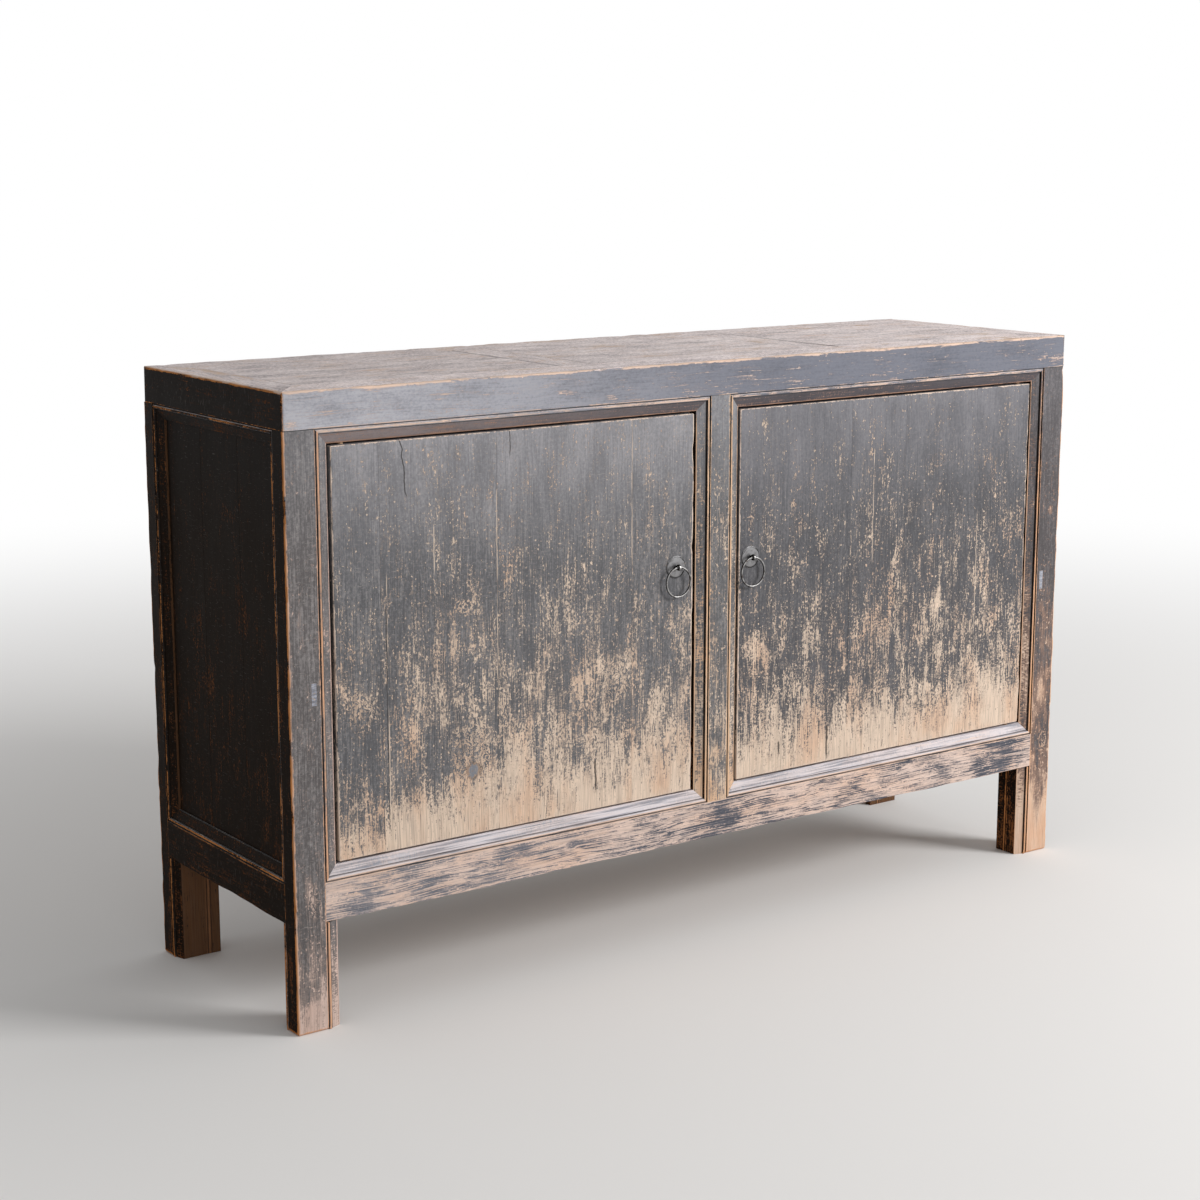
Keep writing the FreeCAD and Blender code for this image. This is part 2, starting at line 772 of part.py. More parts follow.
def bottom_left_rail():
    """Left bottom rail, moulded outside, with a ledge for the floor inside."""
    body = new_body("bottom_left_rail")
    band = [place(item, lambda u, v: v, lambda u, v: rail_top + u) for item in moulding()]
    ledge = s.side_rail_thickness - s.floor_ledge_width
    outline = [point(ZERO, s.foot_height)] + band
    outline += [point(ledge, opening_bottom), point(ledge, rail_top),
                point(s.side_rail_thickness, rail_top),
                point(s.side_rail_thickness, s.foot_height)]
    start = s.post_side_face
    add(body, "XZ", outline, start, back_face - start * 2)
    end = mitre_above(s.post_side_face, rail_top)
    cut(body, "YZ", [end, flip(end, back_face)], ZERO, s.side_rail_thickness)
    for box in side_rail_tenons():
        tenon(body, box)
    cut(body, "XY", [side_groove_outline()], side_groove_low, groove_depth)
    return keep(body, "bottom_left_rail")


# Stiles

def centre_stile():
    """Upright between the doors, moulded on both edges, with stops behind the doors."""
    body = new_body("centre_stile")
    right = moulding_after(middle + stile_half)
    left = [place(item, lambda u, v: middle - stile_half - u, lambda u, v: v)
            for item in moulding()]
    outline = left[::-1] + right
    outline += [point(middle + stile_edge, s.post_side_face),
                point(middle - stile_edge, s.post_side_face)]
    add(body, "XY", outline, rail_top, frame_bottom - rail_top)
    side = [point(middle + stile_half, rail_top),
            point(middle + stile_edge + s.overrun, opening_bottom + s.overrun),
            point(middle + stile_edge + s.overrun, rail_top)]
    top = [point(middle + stile_half, frame_bottom),
           point(middle + stile_edge + s.overrun, opening_top - s.overrun),
           point(middle + stile_edge + s.overrun, frame_bottom)]
    corners = [side, top, flip(side, right_end), flip(top, right_end)]
    cut(body, "XZ", corners, ZERO, s.post_side_face)
    stop_front = s.door_setback + s.door_thickness + s.door_stop_gap
    stop_edge = stile_edge + s.stop_width
    add(body, "XY", block(middle - stop_edge, middle + stop_edge, stop_front, s.stile_depth),
        opening_bottom, opening_top - opening_bottom)
    tenon(body, stile_foot)
    tenon(body, stile_head)
    mortise(body, middle_bearer_stubs()[0])
    return keep(body, "centre_stile")


def back_centre_stile():
    """Upright between the two bays of back boards."""
    body = new_body("back_centre_stile")
    half = s.back_stile_width / 2
    add(body, "XY", block(middle - half, middle + half, back_rail_front, back_face),
        opening_bottom, frame_bottom - opening_bottom)
    tenon(body, back_stile_foot)
    tenon(body, back_stile_head)
    mortise(body, middle_bearer_stubs()[1])
    edge = s.overrun
    cut(body, "XY", [block(middle - half - edge, middle - half + groove_depth, *back_groove),
                     block(middle + half - groove_depth, middle + half + edge, *back_groove)],
        opening_bottom, frame_bottom - opening_bottom)
    return keep(body, "back_centre_stile")


# Boards of the sides, back, floor and shelf

def side_boards():
    """Upright boards of both ends, side by side in their grooves."""
    low = opening_bottom - s.board_tongue
    high = opening_top + s.board_tongue
    start = post_depth - s.board_tongue
    width = (back_face - start * 2) / SIDE_BOARD_COUNT
    x0 = s.side_board_setback
    for number in range(SIDE_BOARD_COUNT):
        label = "side_board_left_%d" % (number + 1)
        body = new_body(label)
        y0 = start + width * number
        add(body, "XY", block(x0, x0 + s.side_board_thickness, y0, y0 + width), low, high - low)
        keep(body, label)
        other = "side_board_right_%d" % (number + 1)
        keep(mirror(body, other), other)


def back_boards():
    """Upright boards of the back, on both sides of its centre stile."""
    low = opening_bottom - s.board_tongue
    high = frame_bottom + s.board_tongue
    start = post_width - s.board_tongue
    end = middle - s.back_stile_width / 2 + s.board_tongue
    width = (end - start) / BACK_BOARDS_PER_BAY
    y0 = back_face - s.back_board_setback - s.back_board_thickness
    for number in range(BACK_BOARDS_PER_BAY):
        label = "back_board_left_%d" % (number + 1)
        body = new_body(label)
        x0 = start + width * number
        add(body, "XY", block(x0, x0 + width, y0, y0 + s.back_board_thickness), low, high - low)
        keep(body, label)
        other = "back_board_right_%d" % (number + 1)
        keep(mirror(body, other), other)


def floor_boards():
    """Boards of the floor, end to end of the cabinet, cut round the posts."""
    gap = s.board_clearance
    start = s.post_side_face + gap
    end = back_rail_front - gap
    width = (end - start) / FLOOR_BOARD_COUNT
    x0 = s.side_rail_thickness - s.floor_ledge_width + gap
    x1 = right_end - x0
    for number in range(FLOOR_BOARD_COUNT):
        label = "floor_board_%d" % (number + 1)
        body = new_body(label)
        y0 = start + width * number
        add(body, "XY", block(x0, x1, y0, y0 + width), rail_top, s.floor_board_thickness)
        if number == 0:
            corner = block(ZERO, post_width + gap, ZERO, post_depth + gap)
            cut(body, "XY", [corner, flip(corner, right_end)], rail_top, s.floor_board_thickness)
        if number == FLOOR_BOARD_COUNT - 1:
            corner = block(ZERO, post_width + gap, back_face - post_depth - gap, back_face)
            cut(body, "XY", [corner, flip(corner, right_end)], rail_top, s.floor_board_thickness)
        keep(body, label)


def floor_bearer(side):
    """Bar under the floor, from the front rail to the back rail."""
    label = "floor_bearer_" + side
    body = new_body(label)
    half = s.floor_bearer_width / 2
    x = bearer_places[side]
    add(body, "XY", block(x - half, x + half, s.post_side_face, back_rail_front),
        bearer_low, s.floor_bearer_height)
    for box in bearer_stubs(side):
        tenon(body, box)
    return keep(body, label)


def shelf_bearer_left():
    """Bearer at the shelf's left end, its front tenon showing on the post."""
    body = new_body("shelf_bearer_left")
    x0 = shelf_bearer_x
    add(body, "XY", block(x0, x0 + s.shelf_bearer_thickness, post_depth, back_face - post_depth),
        shelf_bearer_low, s.shelf_bearer_height)
    for box in shelf_end_tenons():
        tenon(body, box)
    return keep(body, "shelf_bearer_left")


def shelf_bearer_middle():
    """Bearer under the shelf's middle, from the centre stile to the back one."""
    body = new_body("shelf_bearer_middle")
    half = s.shelf_bearer_thickness / 2
    add(body, "XY", block(middle - half, middle + half, s.stile_depth, back_rail_front),
        shelf_bearer_low, s.shelf_bearer_height)
    for box in middle_bearer_stubs():
        tenon(body, box)
    return keep(body, "shelf_bearer_middle")


def shelf_boards():
    """Boards of the shelf, between the front and back posts."""
    start = post_depth + s.shelf_post_gap
    width = (back_face - start * 2) / SHELF_BOARD_COUNT
    for number in range(SHELF_BOARD_COUNT):
        label = "shelf_board_%d" % (number + 1)
        body = new_body(label)
        y0 = start + width * number
        add(body, "XY", block(shelf_bearer_x, right_end - shelf_bearer_x, y0, y0 + width),
            s.shelf_height, s.shelf_board_thickness)
        keep(body, label)


# Doors, drawn with x from the hinge edge, and turned over for the right one

DOORS = {
    "left": (s.left_hinge_gap, s.left_free_gap, s.left_pull_inset, LEFT_SEAM_SHARES),
    "right": (s.right_hinge_gap, s.right_free_gap, s.right_pull_inset, RIGHT_SEAM_SHARES),
}
door_bottom = opening_bottom + s.door_bottom_gap
door_top = opening_top - s.door_top_gap
door_back = s.door_setback + s.door_thickness
batten_middles = (door_bottom + s.batten_place, door_top - s.batten_place)
pull_height = door_top - s.pull_drop
shank_width = s.eye_width


def door_width(side):
    """Width of one door in its opening."""
    hinge_gap, free_gap = DOORS[side][0], DOORS[side][1]
    return middle - stile_edge - post_width - hinge_gap - free_gap


def door_part(side, name):
    """A body of one door, at the door's hinge edge."""
    return new_body("%s_%s_drawn" % (side, name) if side == "right" else "door_left_" + name,
                    left_place + post_width + DOORS[side][0])


def keep_door_part(body, side, label):
    """Hand in a piece of a door, turned over for the right one."""
    return keep(mirror(body, label) if side == "right" else body, label)


def batten_outline(z_middle, grow):
    """Dovetailed batten seen from the end, with its groove when grown."""
    half = s.batten_width / 2
    inner = door_back - s.batten_let_in - grow
    root = half - s.batten_flare + grow
    tip = half + grow
    return [point(inner, z_middle - tip), point(door_back, z_middle - root),
            point(door_back, z_middle + root), point(inner, z_middle + tip)]


def door_board(side, number, x0, x1, first, last):
    """One upright board of a door, grooved behind for the battens."""
    label = "door_%s_board_%d" % (side, number)
    body = door_part(side, "board_%d" % number)
    add(body, "YZ", block(s.door_setback, door_back, door_bottom, door_top), x0, x1 - x0)
    grooves = [batten_outline(z, s.tenon_clearance) for z in batten_middles]
    cut(body, "YZ", grooves, x0, x1 - x0)
    y = s.door_setback + s.door_thickness / 2
    if first:
        circle = [(s.pivot_inset, y, s.pivot_radius)]
        bore(body, "XY", circle, door_bottom, s.pivot_in_door)
        bore(body, "XY", circle, door_top - s.pivot_in_door, s.pivot_in_door)
    if last:
        x = door_width(side) - DOORS[side][2]
        half = shank_width / 2 + s.shank_clearance
        rise = s.shank_height / 2 + s.shank_clearance
        cut(body, "XZ", [block(x - half, x + half, pull_height - rise, pull_height + rise)],
            s.door_setback, s.door_thickness)
    return keep_door_part(body, side, label)


def door_boards(side):
    """All boards of a door."""
    width = door_width(side)
    seams = [ZERO] + [width * share for share in DOORS[side][3]] + [width]
    last = len(seams) - 1
    for number in range(1, last + 1):
        door_board(side, number, seams[number - 1], seams[number], number == 1, number == last)


def door_battens(side):
    """The two dovetailed battens across the back of a door."""
    length = door_width(side) - s.batten_hinge_gap - s.batten_free_gap
    for name, z_middle in zip(("bottom", "top"), batten_middles):
        label = "door_%s_batten_%s" % (side, name)
        body = door_part(side, "batten_" + name)
        add(body, "YZ", batten_outline(z_middle, ZERO), s.batten_hinge_gap, length)
        half = s.batten_width / 2 - s.batten_flare
        rest = s.batten_thickness - s.batten_let_in
        add(body, "YZ", block(door_back, door_back + rest, z_middle - half, z_middle + half),
            s.batten_hinge_gap, length)
        keep_door_part(body, side, label)


def door_pivots(side):
    """The two wooden pins that a door turns on, as one group."""
    label = "door_%s_pivots" % side
    x, y = door_pivot(side)
    pins = []
    reach = {"bottom": s.pivot_in_rail + s.door_bottom_gap,
             "top": s.pivot_in_rail + s.door_top_gap}
    starts = {"bottom": door_bottom - reach["bottom"], "top": door_top - s.pivot_in_door}
    for end in ("bottom", "top"):
        pin = doc.addObject("Part::Cylinder", "%s_%s_pin" % (label, end))
        pin.setExpression("Radius", s.pivot_radius.text)
        pin.setExpression("Height", (s.pivot_in_door + reach[end]).text)
        pin.setExpression("Placement.Base.x", (left_place + x).text)
        pin.setExpression("Placement.Base.y", (front_place + y).text)
        pin.setExpression("Placement.Base.z", starts[end].text)
        pins.append(pin)
    group = doc.addObject("Part::Compound", label)
    group.Links = pins
    return keep(group, label)


# Ring pulls, drawn about the middle of the eye

def pull_part(side, name):
    """A body of one pull, at the eye that the ring hangs in."""
    inset = DOORS[side][2] + DOORS[side][1] + stile_edge
    x = ZERO - inset if side == "left" else inset
    y = front_place + s.door_setback - s.eye_standoff
    return new_body("pull_%s_%s" % (name, side), x, y, pull_height)


def pull_plate(side):
    """Thin round plate on the door's face."""
    label = "pull_plate_" + side
    body = pull_part(side, "plate")
    start = s.eye_standoff - s.plate_thickness
    sketch = new_sketch(body, "XZ", start)
    draw_circle(sketch, ZERO, ZERO, s.plate_radius)
    pad = feature(body, "Pad", sketch, s.plate_thickness, True)
    doc.recompute()
    rim = [index + 1 for index, edge in enumerate(pad.Shape.Edges)
           if edge.Curve.TypeId == "Part::GeomCircle"
           and abs(edge.CenterOfMass.y - start.value) < s.plate_thickness.value / 2]
    chamfer = body.newObject("PartDesign::Chamfer", label + "_chamfer")
    chamfer.Base = (pad, ["Edge%d" % index for index in rim])
    chamfer.setExpression("Size", s.plate_chamfer.text)
    half = shank_width / 2 + s.shank_clearance
    rise = s.shank_height / 2 + s.shank_clearance
    cut(body, "XZ", [block(ZERO - half, half, ZERO - rise, rise)], start, s.plate_thickness)
    return keep(body, label)


def split_pin(side):
    """Eye that holds the ring, its shank through the door and its clinched tips."""
    label = "split_pin_" + side
    body = pull_part(side, "pin")
    half = shank_width / 2
    sketch = new_sketch(body, "YZ", ZERO - half)
    draw_circle(sketch, ZERO, ZERO, eye_radius)
    feature(body, "Pad", sketch, shank_width, False)
    rise = s.shank_height / 2
    inner = s.eye_standoff + s.door_thickness
    outer = inner + s.clinch_thickness
    shank = [point(s.eye_hole_radius, ZERO - rise), point(inner, ZERO - rise),
             point(inner, ZERO - s.clinch_length), point(outer, ZERO - s.clinch_length),
             point(outer, s.clinch_length), point(inner, s.clinch_length), point(inner, rise),
             point(s.eye_hole_radius, rise)]
    add(body, "YZ", shank, ZERO - half, shank_width)
    bore(body, "YZ", [(ZERO, ZERO, s.eye_hole_radius)], ZERO - half, shank_width)
    return keep(body, label)


def pull_ring(side):
    """Round ring hanging in the eye."""
    label = "pull_ring_" + side
    inset = DOORS[side][2] + DOORS[side][1] + stile_edge
    ring = doc.addObject("Part::Torus", label)
    ring.setExpression("Radius1", s.ring_radius.text)
    ring.setExpression("Radius2", s.ring_wire_radius.text)
    ring.Placement.Rotation = FreeCAD.Rotation(FreeCAD.Vector(1, 0, 0), 90)
    x = ZERO - inset if side == "left" else inset
    ring.setExpression("Placement.Base.x", x.text)
    y = front_place + s.door_setback - s.eye_standoff
    ring.setExpression("Placement.Base.y", y.text)
    ring.setExpression("Placement.Base.z", (pull_height - s.ring_radius).text)
    return keep(ring, label)


def build():
    """Make every sub-part."""
    for make in (post_front_left, post_back_left):
        body = make()
        label = body.Label.replace("left", "right")
        keep(mirror(body, label), label)
    top_front_rail()
    top_back_rail()
    keep(mirror(top_left_rail(), "top_right_rail"), "top_right_rail")
    for side in ("left", "right"):
        cross_bar(side)
        floor_bearer(side)
    top_panels()
    bottom_front_rail()
    bottom_back_rail()
    keep(mirror(bottom_left_rail(), "bottom_right_rail"), "bottom_right_rail")
    centre_stile()
    back_centre_stile()
    side_boards()
    back_boards()
    floor_boards()
    keep(mirror(shelf_bearer_left(), "shelf_bearer_right"), "shelf_bearer_right")
    shelf_bearer_middle()
    shelf_boards()
    for side in ("left", "right"):
        door_boards(side)
        door_battens(side)
        door_pivots(side)
        pull_plate(side)
        split_pin(side)
        pull_ring(side)


def check():
    """Stop if anything failed, came out empty or cut nothing."""
    for item in doc.Objects:
        if "Invalid" in item.State or "Error" in item.State:
            raise RuntimeError("failed object: " + item.Label)
    for made in CUTS:
        if made.BaseFeature is None:
            continue
        if made.Shape.Volume >= made.BaseFeature.Shape.Volume:
            raise RuntimeError("cut nothing: " + made.Label)
    for label, item in NODES.items():
        if item.Shape.isNull() or not item.Shape.isValid() or not item.Shape.Solids:
            raise RuntimeError("bad shape: " + label)


build()
doc.recompute()
check()
os.makedirs("parts", exist_ok=True)
for label, item in NODES.items():
    item.Shape.exportStep("parts/%s.step" % label)
print("%d sub-parts written" % len(NODES))
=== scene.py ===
"""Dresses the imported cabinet: black lacquer rubbed through to pale wood, and hand-forged iron pulls."""

import json
import logging
import math
from contextlib import contextmanager
from dataclasses import dataclass
from enum import Enum
from functools import cache, reduce
from itertools import combinations
from typing import Any, Callable, Iterator, Optional, Sequence

import bpy
import numpy as np
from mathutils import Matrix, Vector, noise

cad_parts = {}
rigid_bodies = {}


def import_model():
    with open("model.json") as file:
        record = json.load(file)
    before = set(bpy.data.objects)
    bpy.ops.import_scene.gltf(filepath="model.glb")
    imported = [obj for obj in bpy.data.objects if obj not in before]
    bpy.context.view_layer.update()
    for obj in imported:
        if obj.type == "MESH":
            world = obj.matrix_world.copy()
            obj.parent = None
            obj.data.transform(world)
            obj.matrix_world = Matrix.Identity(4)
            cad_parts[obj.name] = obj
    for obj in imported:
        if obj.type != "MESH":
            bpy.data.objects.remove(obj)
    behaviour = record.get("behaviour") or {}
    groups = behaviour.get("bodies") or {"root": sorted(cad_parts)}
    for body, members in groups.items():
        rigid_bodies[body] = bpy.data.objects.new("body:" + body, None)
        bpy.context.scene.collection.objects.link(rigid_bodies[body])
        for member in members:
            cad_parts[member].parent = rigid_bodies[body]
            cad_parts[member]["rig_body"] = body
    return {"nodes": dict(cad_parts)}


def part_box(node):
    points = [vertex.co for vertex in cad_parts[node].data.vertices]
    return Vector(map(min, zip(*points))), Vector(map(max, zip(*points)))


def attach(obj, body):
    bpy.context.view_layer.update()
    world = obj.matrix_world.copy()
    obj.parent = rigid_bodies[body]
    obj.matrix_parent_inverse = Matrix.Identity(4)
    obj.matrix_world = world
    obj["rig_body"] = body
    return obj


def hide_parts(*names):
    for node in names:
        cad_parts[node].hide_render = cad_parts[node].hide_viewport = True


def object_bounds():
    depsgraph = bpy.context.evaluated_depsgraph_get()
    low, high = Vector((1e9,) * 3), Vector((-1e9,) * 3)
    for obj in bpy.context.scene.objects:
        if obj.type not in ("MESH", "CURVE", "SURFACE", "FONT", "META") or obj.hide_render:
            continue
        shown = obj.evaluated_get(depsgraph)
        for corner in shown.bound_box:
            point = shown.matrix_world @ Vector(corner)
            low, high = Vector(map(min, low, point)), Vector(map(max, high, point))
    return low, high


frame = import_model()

MM = 0.001
PER_METRE = 1000.0
CAD_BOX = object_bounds()
LOG = logging.getLogger("cabinet")

Colour = tuple[float, float, float]
Point = tuple[float, float, float]


class Axis(Enum):
    """A direction: that of a piece's grain, or the one that a plane is square to."""

    X = 0
    Y = 1
    Z = 2


# The way that a face looks: along an axis, up it for 1, down it for -1 and both ways for 0
Side = tuple[Axis, int]


def srgb(red: float, green: float, blue: float) -> Colour:
    """Turns a colour as a screen shows it, 0 to 255, into the linear one that shaders take.

    Args:
        red: red, 0 to 255.
        green: green, 0 to 255.
        blue: blue, 0 to 255.

    Returns:
        The linear colour.
    """
    def linear(level: float) -> float:
        """One channel, made linear."""
        share = level / 255
        return share / 12.92 if share <= 0.04045 else ((share + 0.055) / 1.055) ** 2.4

    return linear(red), linear(green), linear(blue)


# Shader maths

class Value:
    """A number, colour or vector that a material works out, usable in Python sums."""

    def __init__(self, graph: "Graph", socket: bpy.types.NodeSocket) -> None:
        """Keeps the graph and the socket that gives the value."""
        self.graph = graph
        self.socket = socket

    def maths(self, operation: str, *others: Any) -> "Value":
        """Adds a Math node on this value and the others."""
        return self.graph.node("ShaderNodeMath", {"operation": operation}, [self, *others])

    def __add__(self, other: Any) -> "Value":
        """Sum."""
        return self.maths("ADD", other)

    def __sub__(self, other: Any) -> "Value":
        """Difference."""
        return self.maths("SUBTRACT", other)

    def __rsub__(self, other: Any) -> "Value":
        """Difference from a number."""
        return self.graph.node("ShaderNodeMath", {"operation": "SUBTRACT"}, [other, self])

    def __mul__(self, other: Any) -> "Value":
        """Product."""
        return self.maths("MULTIPLY", other)

    def __truediv__(self, other: Any) -> "Value":
        """Quotient."""
        return self.maths("DIVIDE", other)

    __radd__ = __add__
    __rmul__ = __mul__

    def __abs__(self) -> "Value":
        """Size without the sign."""
        return self.maths("ABSOLUTE")

    def least(self, other: Any) -> "Value":
        """The smaller of two values."""
        return self.maths("MINIMUM", other)

    def most(self, other: Any) -> "Value":
        """The larger of two values."""
        return self.maths("MAXIMUM", other)

    def rise(self, low: float, high: float) -> "Value":
        """Goes smoothly from 0 at low to 1 at high, or down where low is the larger.

        Args:
            low: the value that gives 0.
            high: the value that gives 1.

        Returns:
            The share.
        """
        first, last, start, end = (low, high, 0.0, 1.0) if low < high else (high, low, 1.0, 0.0)
        return self.graph.node(
            "ShaderNodeMapRange", {"interpolation_type": "SMOOTHSTEP"},
            {"Value": self, "From Min": first, "From Max": last, "To Min": start, "To Max": end})

    def within(self, low: float, high: float, soft: float) -> "Value":
        """1 between two values, falling to 0 at either over a soft width."""
        return self.rise(low, low + soft) * self.rise(high, high - soft)


def least_of(values: Sequence[Value]) -> Value:
    """The smallest of several values."""
    return reduce(Value.least, values)


# How far a board's own number from 0 to 1 moves the pattern on it, in millimetres
BOARD_STEPS = (731, 397, 613)


class Graph:
    """The nodes of one material."""

    def __init__(self, name: str) -> None:
        """Makes an empty material."""
        self.material = bpy.data.materials.new(name)
        self.material.use_nodes = True
        self.tree = self.material.node_tree
        self.tree.nodes.clear()

    @classmethod
    def of_tree(cls, tree: bpy.types.NodeTree) -> "Graph":
        """A graph on a node tree that is there already, emptied."""
        graph = cls.__new__(cls)
        graph.tree = tree
        tree.nodes.clear()
        return graph

    def node(self, kind: str, settings: Optional[dict[str, Any]] = None, inputs: Any = None,
             output: Any = 0) -> Value:
        """Adds a node with its settings made first, then its sockets filled or linked.

        Args:
            kind: the node's type.
            settings: its properties; stops holds a ramp's places and colours.
            inputs: values or links, as a list in order or a dict by socket name or index.
            output: name or index of the socket to give back.

        Returns:
            The chosen output.
        """
        made = self.tree.nodes.new(kind)
        for key, value in (settings or {}).items():
            if key == "stops":
                self.fill_ramp(made.color_ramp, value)
            else:
                setattr(made, key, value)
        pairs = inputs.items() if isinstance(inputs, dict) else enumerate(inputs or [])
        for key, value in pairs:
            if isinstance(value, Value):
                self.tree.links.new(value.socket, made.inputs[key])
            elif isinstance(value, tuple) and made.inputs[key].type == "RGBA":
                made.inputs[key].default_value = (*value, 1.0)
            else:
                made.inputs[key].default_value = value
        return Value(self, made.outputs[output])

    @staticmethod
    def fill_ramp(ramp: bpy.types.ColorRamp, stops: Sequence[tuple[float, float]]) -> None:
        """Sets a grey ramp's stops from pairs of place and level."""
        while len(ramp.elements) < len(stops):
            ramp.elements.new(1.0)
        for element, (place, level) in zip(ramp.elements, stops):
            element.position = place
            element.color = (level, level, level, 1.0)

    def ramp(self, value: Value, low: float, high: float,
             stops: Sequence[tuple[float, float]]) -> Value:
        """A grey ramp over a range, its stops given in the units of the value.

        Args:
            value: what runs along the ramp.
            low: the value at the ramp's start.
            high: the value at its end.
            stops: pairs of value and level, in rising order.

        Returns:
            The level.
        """
        shares = [((place - low) / (high - low), level) for place, level in stops]
        along = (value - low) / (high - low)
        return self.node("ShaderNodeValToRGB", {"stops": shares}, [along])

    def vector(self, operation: str, first: Any, second: Any) -> Value:
        """Vector maths on two vectors."""
        return self.node("ShaderNodeVectorMath", {"operation": operation}, [first, second])

    def mix(self, share: Any, first: Any, second: Any, blend: str = "MIX") -> Value:
        """Mixes two colours.

        Args:
            share: how much of the second, 0 to 1.
            first: the first colour.
            second: the second colour.
            blend: the kind of mix.

        Returns:
            The mixed colour.
        """
        return self.node("ShaderNodeMix", {"data_type": "RGBA", "blend_type": blend},
                         {0: share, 6: first, 7: second}, 2)

    def nothing(self) -> Value:
        """A plain 0, for others to be added to."""
        return self.node("ShaderNodeValue")

    def length(self, vector: Value) -> Value:
        """The length of a vector."""
        return self.node("ShaderNodeVectorMath", {"operation": "LENGTH"}, [vector], "Value")

    def place(self) -> Value:
        """The point on the object, in millimetres."""
        metres = self.node("ShaderNodeTexCoord", None, None, "Object")
        return self.vector("MULTIPLY", metres, (PER_METRE,) * 3)

    def on_board(self, place: Value, grain: Axis, across: float, along: float,
                 reach: float) -> tuple[Value, Value]:
        """Moves the point by its board's own amount, then bends it by a slow drift.

        Args:
            place: the point, in millimetres.
            grain: the grain's direction.
            across: size of the drift across the grain.
            along: its size along the grain.
            reach: how far it bends.

        Returns:
            The moved point and the bent one.
        """
        board = self.attribute("board", "Fac")
        shift = self.node("ShaderNodeCombineXYZ", None, [board * step for step in BOARD_STEPS])
        shifted = self.vector("ADD", place, shift)
        drift = self.grain_noise(shifted, grain, across, along, 1.0, output="Color")
        centred = self.vector("SUBTRACT", drift, (0.5,) * 3)
        return shifted, self.vector("ADD", shifted, self.vector("MULTIPLY", centred, (reach,) * 3))

    def attribute(self, name: str, output: str = "Vector") -> Value:
        """A named attribute of the mesh."""
        return self.node("ShaderNodeAttribute", {"attribute_name": name}, None, output)

    def parts(self, vector: Value) -> tuple[Value, Value, Value]:
        """The three numbers of a vector."""
        split = self.node("ShaderNodeSeparateXYZ", None, [vector])
        x, y, z = (Value(self, output) for output in split.socket.node.outputs)
        return x, y, z

    def grain_noise(self, place: Value, grain: Axis, across: float, along: float,
                    detail: float = 2.0, roughness: float = 0.5, warp: float = 0.0,
                    output: Any = 0) -> Value:
        """Noise drawn out along the grain.

        Args:
            place: the point, in millimetres.
            grain: the grain's direction.
            across: size of the noise across the grain, in millimetres.
            along: its size along the grain.
            detail: how many finer layers it has.
            roughness: how strong they are.
            warp: how far it is bent by itself.
            output: which output to give back.

        Returns:
            The noise, about 0.5 on average.
        """
        scale = tuple(1 / along if axis is grain else 1 / across for axis in Axis)
        stretched = self.vector("MULTIPLY", place, scale)
        return self.node("ShaderNodeTexNoise", None,
                         {"Vector": stretched, "Scale": 1.0, "Detail": detail,
                          "Roughness": roughness, "Distortion": warp}, output)

    def finish(self, colour: Any, roughness: Any, height: Any, depth: float,
               **constants: Any) -> bpy.types.Material:
        """Closes the material with one surface shader.

        Args:
            colour: base colour.
            roughness: roughness.
            height: the bump's height, 0 to 1.
            depth: how high 1 stands, in metres.
            **constants: other sockets, with underscores for spaces.

        Returns:
            The material.
        """
        bump = self.node("ShaderNodeBump", None,
                         {"Strength": 1.0, "Distance": depth, "Height": height})
        inputs = {"Base Color": colour, "Roughness": roughness, "Normal": bump}
        inputs.update({key.replace("_", " "): value for key, value in constants.items()})
        self.close(self.node("ShaderNodeBsdfPrincipled", None, inputs))
        return self.material

    def close(self, surface: Value, kind: str = "ShaderNodeOutputMaterial") -> None:
        """Links what the graph ends with to a new output node."""
        end = self.tree.nodes.new(kind)
        self.tree.links.new(surface.socket, end.inputs["Surface"])


# Finishes

@dataclass(frozen=True)
class Blotch:
    """A spot on the front where the lacquer is rubbed more, or less, than around it.

    Places and sizes are in millimetres; a strength of 1 bares the wood wholly.
    """

    x: float
    z: float
    half_width: float
    half_height: float
    strength: float


@dataclass(frozen=True)
class Knot:
    """A knot in the wood with curly grain round it, in millimetres."""

    x: float
    z: float
    half_width: float
    half_height: float
    rings: float = 4.0
    strength: float = 0.7
    core: float = 0.0


@dataclass(frozen=True)
class Crack:
    """A crack or an old score along the grain on the front, in millimetres."""

    x: float
    top: float
    bottom: float
    lean: float = 0.0
    width: float = 1.2
    wander: float = 4.0
    pale: bool = False


# The score of rubbing from which the bare wood shows
BARE_FROM = 0.5


